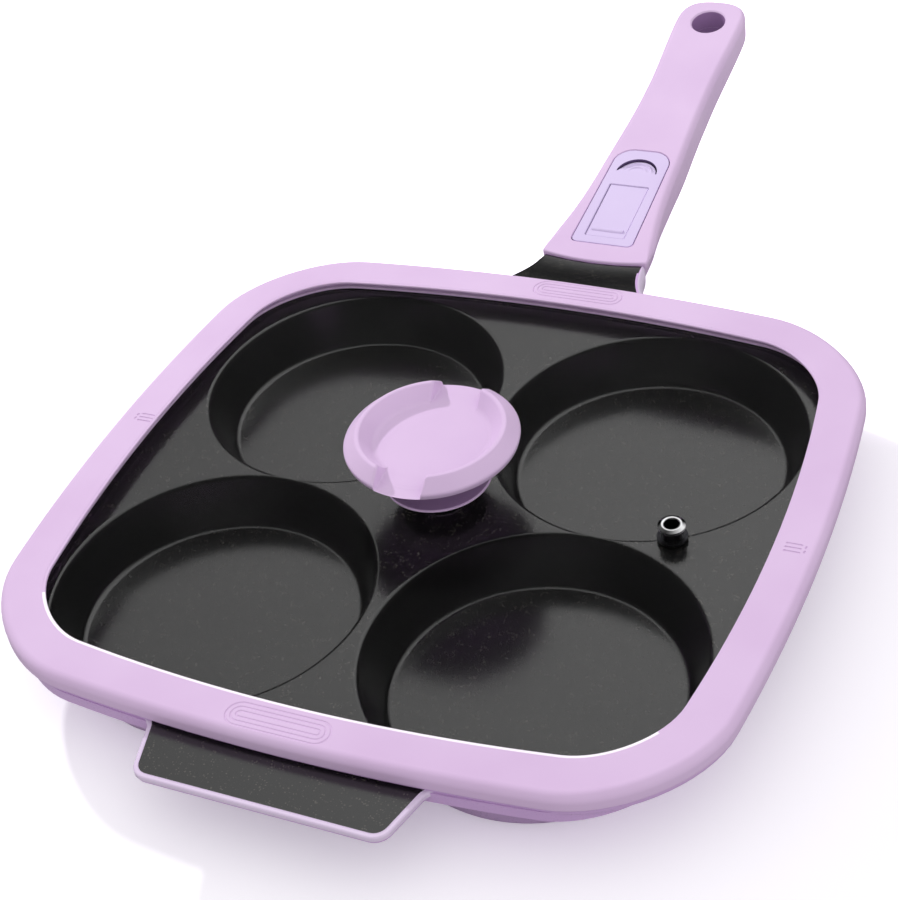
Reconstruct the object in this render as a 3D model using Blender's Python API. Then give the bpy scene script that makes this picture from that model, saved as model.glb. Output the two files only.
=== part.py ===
"""Four-cup egg pan with a rimmed glass lid and a clamp-on handle.

Sizes are in metres. The pan is drawn with x = 0, y = 0 in the middle between the four cups,
+Y towards the handle and z = 0 on the stove. The handle is drawn in its own frame, with y = 0
at the middle of its front face and z = 0 at the lowest point of its underside, and the lever
in a frame about its pin. Empties set those frames in their places, and one more moves
everything so that the origin lies under the middle of the whole object.
"""

import math

import bmesh
import bpy
from mathutils import Matrix, Vector

# Clearances, how far a cutter runs past what it cuts, and how large a marker is drawn
touch_gap = 0.0003
cut_over = 0.001
cutter_reach = 0.03
marker_size = 0.01

# Cups: four round hollows cast into one tray
cup_mouth_radius = 0.0567
cup_taper = 0.0044
cup_floor_z = 0.0064
cup_depth = 0.0166
land_between_x = 0.0086
land_between_y = 0.0044
floor_round = 0.0028
mouth_round = 0.0022
mouth_land = 0.01
cup_wall = 0.0019
base_round = 0.003
deck_thickness = 0.003
cup_steps = 32

# Tray wall and the flange that the lid rests on. Its corners lie a little inside the cups' edges,
# and its sides bow out round them
tray_tuck_x = 0.0047
tray_tuck_y = 0.0061
tray_corner = 0.027
tray_bow = 0.0095
tray_shift_y = 0.0005
tray_draft = 0.002
tray_wall = 0.003
flange_thickness = 0.0025
flange_setback = 0.001

# Base discs for the stove
disc_inset = 0.0126
disc_thickness = 0.0005

# Lid: a sheet of glass in a soft rim
lid_over_x = 0.017
lid_over_y = 0.0106
lid_corner = 0.042
lid_bow = 0.010
lid_shift_y = 0.006
rim_width = 0.016
rim_lip_top = 0.0009
rim_lip_bottom = 0.0011
rim_edge_round = 0.0008
glass_thickness = 0.004
glass_in_rim = 0.005
side_steps = 10
corner_steps = 6

# Grooved grips on the front and the back of the rim
grip_length = 0.0385
grip_width = 0.0105
groove_width = 0.0009
groove_depth = 0.0006
groove_pitch = 0.0018
groove_count = 3
front_grip_x = -0.0035
back_grip_x = 0.008

# Vent eyelet
vent_inset = 0.052
vent_bore = 0.003
vent_tube = 0.0006
vent_flange = 0.0019
vent_flange_thickness = 0.0008
vent_washer_thickness = 0.0006
vent_roll = 0.001
vent_roll_thickness = 0.0006

# Knob
knob_neck_radius = 0.0155
knob_waist_radius = 0.0205
knob_radius = 0.032
knob_rim_radius = 0.0264
knob_dish_radius = 0.0205
knob_height = 0.0265
knob_waist_height = 0.0118
knob_widest_height = 0.0217
knob_lip = 0.0022
knob_edge_round = 0.0008
knob_dish_depth = 0.0055
dish_round = 0.003
knob_notch_width = 0.018
knob_notch_overlap = 0.004
knob_steps = 36

# Knob fixing, from the glass down and up into the knob
gasket_radius = 0.009
gasket_thickness = 0.0006
washer_radius = 0.008
washer_thickness = 0.0005
screw_head_radius = 0.0042
screw_head_thickness = 0.0013
screw_radius = 0.0021
insert_wall = 0.0014
insert_length = 0.011

# Front helper lug
lug_reach = 0.0199
lug_root_half = 0.0535
lug_side_step = 0.0035
lug_end_step = 0.005
lug_corner = 0.005
lug_flare = 0.003
lug_thickness = 0.0036
lug_drop = 0.0009

# Rear lug and the tongue that the handle grips
neck_length = 0.0278
neck_side_step = 0.0008
neck_top_step = 0.0011
neck_bottom_step = 0.0009
neck_flare = 0.0112
neck_flare_length = 0.028
neck_flare_limit = 1.2
shoulder_gap = 0.0004
lug_overrun = 0.006
tongue_half = 0.014
tongue_length = 0.0261
tongue_root = 0.008
tongue_thickness = 0.0045
tongue_corner = 0.003

# Handle outline
handle_length = 0.1816
handle_below_flange = 0.0026
handle_front_height = 0.0148
handle_middle_rise = 0.011745
handle_end_rise = 0.02555
handle_front_sweep = 0.0027
handle_grip_half = 0.0147
handle_flare = 0.0089
handle_flare_length = 0.030
handle_end_length = 0.0145
belly_start = 0.0281
belly_middle_rise = 0.01006
belly_end_rise = 0.02718
handle_side = 0.0085
handle_top_round = 0.0017
handle_wall = 0.0024
front_wall = 0.0041
front_overrun = 0.002
arc_steps = 20
end_block = 0.0295
hang_hole_radius = 0.00775
hang_hole_inset = 0.0155

# Latch lever let into the handle's top
lever_setback = 0.0114
lever_taper = 0.0018
lever_front_corner = 0.0022
opening_front_corner = 0.0011
lever_rear_corner = 0.0095
lever_thickness = 0.0042
lever_sink = 0.0001
lever_end_margin = 0.0022
barrel_radius = 0.002
pin_radius = 0.001
pin_over = 0.0004
cam_start = 0.0040
cam_length = 0.005
cam_half = 0.010
scoop_setback = 0.0024
scoop_radius = 0.009
scoop_depth = 0.0012

# Release slider in the lever
slider_start = 0.0025
slider_window = 0.0323
slider_half = 0.0087
slider_sink = 0.0012
slider_thickness = 0.0015
slider_travel = 0.004
slider_tail = 0.0015
slider_skin = 0.0009
ridge_start = 0.0035
ridge_length = 0.0022
nib_start = 0.0125
nib_length = 0.0027
nib_half = 0.002
slider_spring_radius = 0.0012
slider_spring_wire = 0.0002
slider_spring_turns = 10

# Clamp inside the handle
chassis_thickness = 0.0014
room_gap = 0.0004
chassis_bend_beyond = 0.002
chassis_tail = 0.043
chassis_rear_half = 0.0112
ear_thickness = 0.0016
ear_side_gap = 0.0012
ear_ahead = 0.0038
ear_length = 0.0095
ear_tab_length = 0.002
lever_side_gap = 0.0015
jaw_thickness = 0.0014
jaw_side_gap = 0.0017
jaw_beyond = 0.010
jaw_lift = 0.0015
jaw_front_corner = 0.001
jaw_rear_corner = 0.002
guide_edge = 0.004
guide_beyond = 0.007
guide_radius = 0.0012
guide_head_radius = 0.0019
jaw_spring_beyond = 0.0055
jaw_spring_radius = 0.0028
jaw_spring_wire = 0.00035
jaw_spring_turns = 3

# Screws of the handle
boss_wall = 0.0019
boss_half = 0.0032
shell_screw_radius = 0.0013
shell_screw_head = 0.0025
shell_screw_head_height = 0.0016
shell_screw_beyond = 0.017
shell_screw_before_hole = 0.028
chassis_screw_steps = (0.011, 0.034)
chassis_pad_height = 0.0016

# Worked out for the cups, the tray and the lid
cup_foot_radius = cup_mouth_radius - cup_taper
cup_pitch_x = 2 * cup_mouth_radius + land_between_x
cup_pitch_y = 2 * cup_mouth_radius + land_between_y
deck_top = cup_floor_z + cup_depth
deck_bottom = deck_top - deck_thickness
flange_top = deck_top + flange_thickness
tray_half_x = cup_pitch_x / 2 + cup_mouth_radius - tray_tuck_x
tray_half_y = cup_pitch_y / 2 + cup_mouth_radius - tray_tuck_y
disc_radius = cup_foot_radius - disc_inset
lid_half_x = tray_half_x + lid_over_x
lid_half_y = tray_half_y + lid_over_y
lid_front_y = lid_shift_y - lid_half_y - lid_bow
lid_back_y = lid_shift_y + lid_half_y + lid_bow
glass_room = glass_thickness + 2 * touch_gap
rim_height = rim_lip_bottom + glass_room + rim_lip_top
rim_bottom = flange_top + touch_gap
rim_top = rim_bottom + rim_height
glass_bottom = rim_bottom + rim_lip_bottom + touch_gap
glass_top = glass_bottom + glass_thickness
glass_inset = rim_width - glass_in_rim
vent_x = lid_half_x + lid_bow - vent_inset
vent_barrel = vent_bore + vent_tube
vent_flange_radius = vent_barrel + vent_flange
vent_roll_radius = vent_barrel + vent_roll
knob_base = glass_top + touch_gap
insert_radius = screw_radius + touch_gap + insert_wall

# Worked out for the lugs and the handle's place
lug_front_y = lid_front_y - lug_reach
lug_side_half = lug_root_half - lug_side_step
lug_end_half = lug_side_half - lug_end_step
handle_y = lid_back_y + neck_length
handle_z = flange_top - handle_below_flange - handle_front_height
neck_half = handle_grip_half + handle_flare - neck_side_step
neck_top = handle_z + handle_front_height - neck_top_step
neck_bottom = handle_z + neck_bottom_step
middle_y = (lug_front_y + handle_y + handle_length) / 2

# Worked out for the handle in its own frame
handle_front_half = handle_grip_half + handle_flare
handle_curve = 2 * (handle_end_rise - 2 * handle_middle_rise) / handle_length**2
handle_slope = (4 * handle_middle_rise - handle_end_rise) / handle_length
belly_length = handle_length - belly_start
belly_curve = 2 * (belly_end_rise - 2 * belly_middle_rise) / belly_length**2
belly_slope = (4 * belly_middle_rise - belly_end_rise) / belly_length
end_block_y = handle_length - end_block
hang_hole_y = handle_length - hang_hole_inset
half_turn = math.pi
over_all_z = handle_front_height + 2 * handle_end_rise


def handle_top(y):
    """Height of the handle's top surface."""
    return handle_front_height + handle_slope * y + handle_curve * y * y


def handle_bottom_at(y):
    """Height of the handle's underside."""
    run = max(0.0, y - belly_start)
    return belly_slope * run + belly_curve * run * run


def handle_half(y):
    """Half the handle's width."""
    run = max(0.0, y)
    half = handle_grip_half + handle_flare / (1 + (run / handle_flare_length) ** 2)
    into_end = (y - (handle_length - handle_end_length)) / handle_end_length
    if into_end > 0:
        half = half * math.sqrt(max(0.0, 1 - into_end * into_end))
    return half


def front_arc(x):
    """The curved line across the handle's front face."""
    return handle_front_sweep * (x / handle_front_half) ** 2


def smooth_step(value, start, end):
    """0 before start, 1 after end, and a smooth rise between."""
    share = min(1.0, max(0.0, (value - start) / (end - start)))
    return share * share * (3 - 2 * share)


# Widths inside the handle, from the tongue outwards
chassis_front_half = tongue_half + ear_side_gap + ear_thickness
lever_front_half = chassis_front_half - ear_thickness - lever_side_gap
lever_rear_half = lever_front_half - lever_taper
pin_half = chassis_front_half + pin_over
jaw_half = chassis_front_half - ear_thickness - jaw_side_gap
guide_x = jaw_half - guide_edge

# Lengths along the lever
slider_pocket_end = slider_start + slider_window + slider_tail + slider_travel + touch_gap
scoop_start = slider_pocket_end + scoop_setback
lever_length = scoop_start + scoop_radius + lever_end_margin + barrel_radius

# The lever turns about this line, and its own frame lies along the handle's top
pivot_y = lever_setback + barrel_radius
pivot_z = handle_top(pivot_y) - lever_sink - barrel_radius
lever_rise = handle_top(pivot_y + lever_length) - handle_top(pivot_y)
lever_tilt = math.atan2(lever_rise, lever_length)
lever_top = barrel_radius
lever_bottom = lever_top - lever_thickness

# Levels inside the handle
tongue_bottom = handle_wall + chassis_thickness + 2 * touch_gap
tongue_top = tongue_bottom + tongue_thickness
chassis_top = tongue_bottom - touch_gap
chassis_bottom = chassis_top - chassis_thickness
jaw_bottom = tongue_top + touch_gap
jaw_top = jaw_bottom + jaw_thickness
cam_bottom = jaw_top + touch_gap
pin_bottom = pivot_z - pin_radius
seat_bottom = pin_bottom - pin_radius - boss_wall
ear_shoulder = seat_bottom - touch_gap
slot_half = ear_tab_length / 2 + touch_gap

# Places along the handle
chassis_front_y = front_wall + touch_gap
jaw_end_y = tongue_length + jaw_beyond
guide_y = tongue_length + guide_beyond
jaw_spring_y = tongue_length + jaw_spring_beyond
chassis_bend_y = jaw_end_y + chassis_bend_beyond
chassis_end_y = chassis_bend_y + chassis_tail
chassis_screw_ys = tuple(chassis_bend_y + step for step in chassis_screw_steps)
ear_front_y = pivot_y - ear_ahead
shell_screw_ys = (chassis_end_y + shell_screw_beyond, hang_hole_y - shell_screw_before_hole)


def clear_scene():
    """Remove what the file opens with."""
    for old in list(bpy.data.objects):
        bpy.data.objects.remove(old, do_unlink=True)


def surface(name, colour, roughness, metallic=0.0, alpha=1.0):
    """A plain material."""
    material = bpy.data.materials.new(name)
    material.use_nodes = True
    shader = material.node_tree.nodes["Principled BSDF"]
    shader.inputs["Base Color"].default_value = (*colour, 1.0)
    shader.inputs["Roughness"].default_value = roughness
    shader.inputs["Metallic"].default_value = metallic
    shader.inputs["Alpha"].default_value = alpha
    return material


def new_object(name, bm):
    """Close a bmesh into an object with its faces pointing out."""
    bmesh.ops.remove_doubles(bm, verts=bm.verts, dist=1e-7)
    bmesh.ops.recalc_face_normals(bm, faces=bm.faces)
    mesh = bpy.data.meshes.new(name)
    bm.to_mesh(mesh)
    bm.free()
    made = bpy.data.objects.new(name, mesh)
    bpy.context.collection.objects.link(made)
    return made


def add_prism(bm, outline, low, high):
    """Add an outline of (x, y) points, pulled up from low to high."""
    face = bm.faces.new([bm.verts.new((x, y, low)) for x, y in outline])
    pulled = bmesh.ops.extrude_face_region(bm, geom=[face])
    tops = [part for part in pulled["geom"] if isinstance(part, bmesh.types.BMVert)]
    bmesh.ops.translate(bm, verts=tops, vec=(0, 0, high - low))


def prism(name, outline, low, high):
    """A solid with one outline from low to high."""
    bm = bmesh.new()
    add_prism(bm, outline, low, high)
    return new_object(name, bm)


def side_prism(name, outline, half):
    """A solid with an outline of (y, z) points, from -half to half along x."""
    made = prism(name, outline, -half, half)
    turn = Matrix(((0, 0, 1, 0), (1, 0, 0, 0), (0, 1, 0, 0), (0, 0, 0, 1)))
    made.data.transform(turn)
    return made


def block(name, low, high):
    """A box between two corners."""
    outline = [(low[0], low[1]), (high[0], low[1]), (high[0], high[1]), (low[0], high[1])]
    return prism(name, outline, low[2], high[2])


def add_turned(bm, profile, steps, centre=(0, 0, 0)):
    """Add a profile of (radius, z) points, spun about a vertical line and closed flat."""
    middle = Vector(centre)
    off_axis = [point for point in profile if point[0] > 0]
    points = [bm.verts.new(middle + Vector((radius, 0, z))) for radius, z in off_axis]
    edges = [bm.edges.new(pair) for pair in zip(points, points[1:])]
    bmesh.ops.spin(
        bm,
        geom=points + edges,
        cent=middle,
        axis=(0, 0, 1),
        angle=2 * half_turn,
        steps=steps,
        use_merge=True,
    )
    bmesh.ops.remove_doubles(bm, verts=bm.verts, dist=1e-7)
    rims = [edge for edge in bm.edges if edge.is_boundary]
    bmesh.ops.holes_fill(bm, edges=rims, sides=0)


def turned(name, profile, steps, centres=((0, 0, 0),)):
    """A spun solid, or one at each centre."""
    bm = bmesh.new()
    for centre in centres:
        add_turned(bm, profile, steps, centre)
    return new_object(name, bm)


def round_bar(name, radius, low, high, steps=20, centres=((0, 0, 0),)):
    """An upright cylinder, or one at each centre."""
    profile = [(0, low), (radius, low), (radius, high), (0, high)]
    return turned(name, profile, steps, centres)


def loft(name, rings):
    """A solid through closed rings of points, with flat ends."""
    bm = bmesh.new()
    rows = [[bm.verts.new(point) for point in ring] for ring in rings]
    count = len(rows[0])
    for row, following in zip(rows, rows[1:]):
        for k in range(count):
            after = (k + 1) % count
            bm.faces.new((row[k], row[after], following[after], following[k]))
    bm.faces.new(rows[0])
    bm.faces.new(rows[-1])
    bmesh.ops.triangulate(bm, faces=bm.faces)
    return new_object(name, bm)


def swept_ring(name, section, outline_at):
    """A closed band: each (inset, z) point of the section follows its own outline."""
    bm = bmesh.new()
    rows = []
    for inset, z in section:
        rows.append([bm.verts.new((x, y, z)) for x, y in outline_at(inset)])
    count = len(rows[0])
    for row, following in zip(rows, rows[1:] + rows[:1]):
        for k in range(count):
            after = (k + 1) % count
            bm.faces.new((row[k], row[after], following[after], following[k]))
    return new_object(name, bm)


def combine(target, others, operation):
    """Join solids to the target, or cut them out of it, worked in millimetres to keep it exact."""
    larger = Matrix.Scale(1000, 4)
    smaller = Matrix.Scale(0.001, 4)
    target.data.transform(larger)
    for other in others:
        other.data.transform(larger)
        change = target.modifiers.new("change", "BOOLEAN")
        change.operation = operation
        change.solver = "EXACT"
        change.object = other
        bpy.context.view_layer.update()
        graph = bpy.context.evaluated_depsgraph_get()
        result = bpy.data.meshes.new_from_object(target.evaluated_get(graph))
        target.modifiers.remove(change)
        target.data = result
        bpy.data.objects.remove(other, do_unlink=True)
    target.data.transform(smaller)
    return target


def join(target, *others):
    return combine(target, others, "UNION")


def cut(target, *others):
    return combine(target, others, "DIFFERENCE")


def keep(target, *others):
    return combine(target, others, "INTERSECT")


def fillet(before, corner, after, radius, steps):
    """Points of the arc that rounds one corner of a line."""
    corner = Vector(corner)
    back = (Vector(before) - corner)
    ahead = (Vector(after) - corner)
    half_angle = back.angle(ahead) / 2
    reach = radius / math.tan(half_angle)
    reach = min(reach, back.length * 0.49, ahead.length * 0.49)
    back.normalize()
    ahead.normalize()
    real_radius = reach * math.tan(half_angle)
    centre = corner + (back + ahead).normalized() * (real_radius / math.sin(half_angle))
    start = corner + back * reach - centre
    end = corner + ahead * reach - centre
    turn = start.angle_signed(end)
    points = []
    for k in range(steps + 1):
        spoke = start.copy()
        spoke.rotate(Matrix.Rotation(-turn * k / steps, 2))
        points.append(tuple(centre + spoke))
    return points


def rounded_outline(corners, radii, steps=4):
    """A closed outline with its corners rounded."""
    points = []
    count = len(corners)
    for k in range(count):
        if radii[k] == 0:
            points.append(corners[k])
        else:
            before = corners[k - 1]
            after = corners[(k + 1) % count]
            points += fillet(before, corners[k], after, radii[k], steps)
    return points


def bowed_square(half_x, half_y, corner, bow, shift_y):
    """A square outline with round corners and sides that swell by bow."""
    outline = []
    straight_x = half_x - corner
    straight_y = half_y - corner
    for side in range(4):
        start = side * half_turn / 2
        centre_x = straight_x * (1 if side in (0, 3) else -1)
        centre_y = straight_y * (1 if side in (0, 1) else -1)
        for k in range(corner_steps + 1):
            angle = start + half_turn / 2 * k / corner_steps
            outline.append((centre_x + corner * math.cos(angle), centre_y + corner * math.sin(angle)))
        run_x = -2 * straight_x if side == 0 else 2 * straight_x if side == 2 else 0
        run_y = -2 * straight_y if side == 1 else 2 * straight_y if side == 3 else 0
        last_x, last_y = outline[-1]
        for k in range(1, side_steps):
            outline.append((last_x + run_x * k / side_steps, last_y + run_y * k / side_steps))
    swollen = []
    for x, y in outline:
        out_x = math.copysign(bow, x) * (1 - (y / half_y) ** 2) * (x / half_x) ** 2
        out_y = math.copysign(bow, y) * (1 - (x / half_x) ** 2) * (y / half_y) ** 2
        swollen.append((x + out_x, y + out_y + shift_y))
    return swollen


def lid_outline(inset):
    """The lid's plan, drawn in by inset."""
    return bowed_square(
        lid_half_x - inset, lid_half_y - inset, lid_corner - inset, lid_bow, lid_shift_y
    )


def tray_outline(outset):
    """The inside of the tray's wall, pushed out by outset."""
    return bowed_square(
        tray_half_x + outset, tray_half_y + outset, tray_corner + outset, tray_bow, tray_shift_y
    )


def coil(name, radius, wire, turns, length, steps=10, sides=4):
    """An open wire coil about z, from z = 0 to length."""
    bm = bmesh.new()
    rings = []
    count = turns * steps
    climb = length - 2 * wire
    for k in range(count + 1):
        angle = 2 * half_turn * k / steps
        out = Vector((math.cos(angle), math.sin(angle), 0))
        middle = out * (radius - wire) + Vector((0, 0, wire + climb * k / count))
        ring = []
        for s in range(sides):
            around = 2 * half_turn * (s + 0.5) / sides
            reach = out * math.cos(around) + Vector((0, 0, math.sin(around)))
            ring.append(bm.verts.new(middle + reach * wire))
        rings.append(ring)
    for ring, following in zip(rings, rings[1:]):
        for s in range(sides):
            after = (s + 1) % sides
            bm.faces.new((ring[s], ring[after], following[after], following[s]))
    bm.faces.new(rings[0])
    bm.faces.new(rings[-1])
    return new_object(name, bm)


def grip_section(half, top, bottom, side):
    """Right half of a cross-section as (x, z) points, from the bottom up to the top."""
    steps = 4
    low = []
    for k in range(steps):
        angle = half_turn / 2 * k / steps
        x = half * math.sin(angle) ** 0.8
        z = top - side - (top - side - bottom) * math.cos(angle) ** 0.8
        low.append((x, z))
    low.append((half, top - side))
    roll = min(handle_top_round, half * 0.4)
    high = []
    for k in range(4):
        angle = half_turn / 2 * k / 3
        high.append((half - roll + roll * math.cos(angle), top - roll + roll * math.sin(angle)))
    return low, high


def mirror_ring(points, y):
    """A closed ring in the plane at y, from its right half."""
    right = [Vector((x, y, z)) for x, z in points]
    left = [Vector((-x, y, z)) for x, z in reversed(points) if x > 1e-6]
    return right + left


def handle_stations(start, end):
    """Places along the handle where its cross-section is drawn."""
    straight_end = handle_length - handle_end_length
    count = 14
    last = min(end, straight_end)
    stations = [start + (last - start) * k / count for k in range(count + 1)]
    if end > straight_end:
        for k in range(1, 7):
            angle = math.radians(14 * k)
            stations.append(straight_end + handle_end_length * math.sin(angle))
    return stations


def upper_loft(name, start, end, inset, low_by):
    """The handle's form above the parting line, drawn in by inset."""
    rings = []
    for y in handle_stations(start, end):
        top = handle_top(y)
        low, high = grip_section(handle_half(y) - inset, top - inset, handle_bottom_at(y), 0)
        parting = top - handle_side + low_by
        right = [(handle_half(y) - inset, parting)] + high
        left = [(-x, z) for x, z in reversed(right)]
        rings.append([Vector((x, y, z)) for x, z in right + left])
    return loft(name, rings)


def lower_loft(name, start, end, inset, high_by):
    """The handle's form below the parting line, drawn in by inset."""
    rings = []
    for y in handle_stations(start, end):
        half = handle_half(y) - inset
        parting = handle_top(y) - handle_side + high_by
        low, high = grip_section(half, parting, handle_bottom_at(y) + inset, 0)
        left = [(-x, z) for x, z in reversed(low) if x > 1e-6]
        rings.append([Vector((x, y, z)) for x, z in low + left])
    return loft(name, rings)


def front_cutter(name, gap):
    """Everything ahead of the handle's curved front line, less a gap."""
    reach = handle_front_half + cutter_reach
    line = [reach - 2 * reach * k / arc_steps for k in range(arc_steps + 1)]
    curve = [(x, front_arc(x) - gap) for x in line]
    outline = curve + [(-reach, -cutter_reach), (reach, -cutter_reach)]
    return prism(name, outline, -cutter_reach, over_all_z)


def lug_cutter(name):
    """Everything behind the line that the rear lug's shoulder follows, in the pan's frame."""
    reach = handle_front_half + cutter_reach
    line = [-reach + 2 * reach * k / arc_steps for k in range(arc_steps + 1)]
    curve = [(x, handle_y + front_arc(x) - shoulder_gap) for x in line]
    behind = handle_y + cutter_reach
    return prism(name, curve + [(reach, behind), (-reach, behind)], -cutter_reach, over_all_z)


def cup_centres():
    """The middles of the four cups."""
    centres = []
    for side_y in (-1, 1):
        for side_x in (-1, 1):
            centres.append((side_x * cup_pitch_x / 2, side_y * cup_pitch_y / 2, 0))
    return centres


def cup_inside():
    """The cups' hollows."""
    draft = (cup_mouth_radius - cup_foot_radius) / (deck_top - cup_floor_z - floor_round)
    floor_edge = cup_foot_radius - draft * floor_round
    above = deck_top + cut_over
    corner_low = (floor_edge, cup_floor_z)
    corner_high = (cup_mouth_radius, deck_top)
    beyond = (cup_mouth_radius + mouth_land, deck_top)
    low = fillet((0, cup_floor_z), corner_low, corner_high, floor_round, 2)
    high = fillet(corner_low, corner_high, beyond, mouth_round, 2)
    profile = [(0, above), (high[-1][0], above)] + high[::-1] + low[::-1] + [(0, cup_floor_z)]
    return turned("cup_inside", profile, cup_steps, cup_centres())


def cup_outside():
    """The cups' outer bowls, down to the stove."""
    draft = (cup_mouth_radius - cup_foot_radius) / (deck_top - cup_floor_z - floor_round)
    top_z = deck_bottom + deck_thickness / 2
    top_radius = cup_mouth_radius + cup_wall - draft * (deck_top - top_z)
    base_radius = cup_mouth_radius + cup_wall - draft * deck_top
    low = fillet((0, 0), (base_radius, 0), (top_radius, top_z), base_round, 2)
    profile = [(0, top_z), (top_radius, top_z)] + low[::-1] + [(0, 0)]
    return turned("cup_outside", profile, cup_steps, cup_centres())


def front_lug():
    """The helper lug opposite the handle."""
    root_y = -(tray_half_y + tray_bow) - tray_wall / 2 + tray_shift_y
    edge_y = lid_front_y + flange_setback
    corners = [
        (-lug_root_half, root_y),
        (-lug_root_half, edge_y + lug_flare),
        (-lug_side_half, edge_y - lug_flare),
        (-lug_end_half, lug_front_y),
        (lug_end_half, lug_front_y),
        (lug_side_half, edge_y - lug_flare),
        (lug_root_half, edge_y + lug_flare),
        (lug_root_half, root_y),
    ]
    radii = [0, 0, lug_flare, lug_corner, lug_corner, lug_flare, 0, 0]
    top = flange_top - lug_drop
    return prism("front_lug", rounded_outline(corners, radii, 3), top - lug_thickness, top)


def rear_lug():
    """The lug that runs down from the flange to meet the handle."""
    root_y = tray_half_y + tray_bow + tray_shift_y + tray_wall / 2
    edge_y = lid_back_y - flange_setback
    beyond_y = handle_y + lug_overrun
    rings = []
    count = 10
    for k in range(count + 1):
        y = root_y + (beyond_y - root_y) * k / count
        run = max(0.0, handle_y - y) / neck_flare_length
        half = neck_half + neck_flare * min(run, neck_flare_limit) ** 2
        high_start = flange_top - touch_gap
        top = high_start - (high_start - neck_top) * smooth_step(y, edge_y, handle_y)
        bottom = deck_bottom - (deck_bottom - neck_bottom) * smooth_step(y, root_y, handle_y)
        side = (top - bottom) * 0.5
        low, high = grip_section(half, top, bottom, side)
        rings.append(mirror_ring(low + high, y))
    lug = loft("rear_lug", rings)
    return cut(lug, lug_cutter("behind_lug"))


def tongue():
    """The flat tongue that goes into the handle."""
    start_y = handle_y - tongue_root
    end_y = handle_y + tongue_length
    corners = [
        (-tongue_half, start_y),
        (tongue_half, start_y),
        (tongue_half, end_y),
        (-tongue_half, end_y),
    ]
    outline = rounded_outline(corners, [0, 0, tongue_corner, tongue_corner], 3)
    return prism("tongue", outline, handle_z + tongue_bottom, handle_z + tongue_top)


def make_pan():
    """The cast pan: cups, deck, tray wall, flange and both lugs."""
    body = prism("pan_body", lid_outline(flange_setback), deck_top, flange_top)
    middle = deck_top + flange_thickness / 2
    join(body, prism("tray_block", tray_outline(tray_wall), deck_bottom, middle))
    join(body, front_lug(), rear_lug(), tongue(), cup_outside())
    open_by = tray_draft * (flange_thickness + cut_over) / flange_thickness
    low = [Vector((x, y, deck_top)) for x, y in tray_outline(0)]
    high = [Vector((x, y, flange_top + cut_over)) for x, y in tray_outline(open_by)]
    cut(body, loft("tray_inside", [low, high]), cup_inside())
    recess_top = disc_thickness + touch_gap
    recess = round_bar(
        "disc_recess", disc_radius + touch_gap, -cut_over, recess_top, cup_steps, cup_centres()
    )
    return cut(body, recess)


def make_rim():
    """The lid's soft rim, with a groove for the glass and two grooved grips."""
    slot_low = rim_bottom + rim_lip_bottom
    slot_high = rim_top - rim_lip_top
    slot_inset = glass_inset - touch_gap
    section = [
        (rim_edge_round / 2, rim_bottom),
        (0, rim_bottom + rim_edge_round),
        (0, rim_top - rim_edge_round),
        (rim_edge_round, rim_top),
        (rim_width - rim_edge_round / 2, rim_top),
        (rim_width, rim_top - rim_edge_round / 2),
        (rim_width, slot_high),
        (slot_inset, slot_high),
        (slot_inset, slot_low),
        (rim_width, slot_low),
        (rim_width, rim_bottom),
    ]
    rim = swept_ring("lid_rim", section, lid_outline)
    front_y = lid_front_y + rim_width / 2
    back_y = lid_back_y - rim_width / 2
    for centre_x, centre_y in ((front_grip_x, front_y), (back_grip_x, back_y)):
        for k in range(groove_count):
            cut(rim, groove(centre_x, centre_y, k * groove_pitch))
    return rim


def groove(centre_x, centre_y, inset):
    """One long oval groove, cut down from the rim's top."""
    outer = grip_width / 2 - inset
    inner = outer - groove_width
    half = (grip_length - grip_width) / 2
    low = rim_top - groove_depth
    bm = bmesh.new()
    add_prism(bm, oval(centre_x, centre_y, half, outer), low, rim_top + cut_over)
    ring = new_object("groove", bm)
    middle = oval(centre_x, centre_y, half, inner)
    return cut(ring, prism("groove_middle", middle, low - cut_over, rim_top + 2 * cut_over))


def oval(centre_x, centre_y, half, radius):
    """A long outline with round ends."""
    points = []
    steps = 6
    for side in (1, -1):
        for k in range(steps + 1):
            angle = -half_turn / 2 + half_turn * k / steps
            x = side * (half + radius * math.cos(angle))
            points.append((centre_x + x, centre_y + side * radius * math.sin(angle)))
    return points


def make_glass():
    """The sheet of glass, with holes for the knob's screw and the vent."""
    glass = prism("lid_glass", lid_outline(glass_inset), glass_bottom, glass_top)
    low = glass_bottom - cut_over
    high = glass_top + cut_over
    screw_hole = screw_radius + 2 * touch_gap
    vent_hole = vent_barrel + touch_gap
    cut(glass, round_bar("knob_hole", screw_hole, low, high, 20, ((0, lid_shift_y, 0),)))
    return cut(glass, round_bar("vent_hole", vent_hole, low, high, 20, ((vent_x, lid_shift_y, 0),)))


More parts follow.
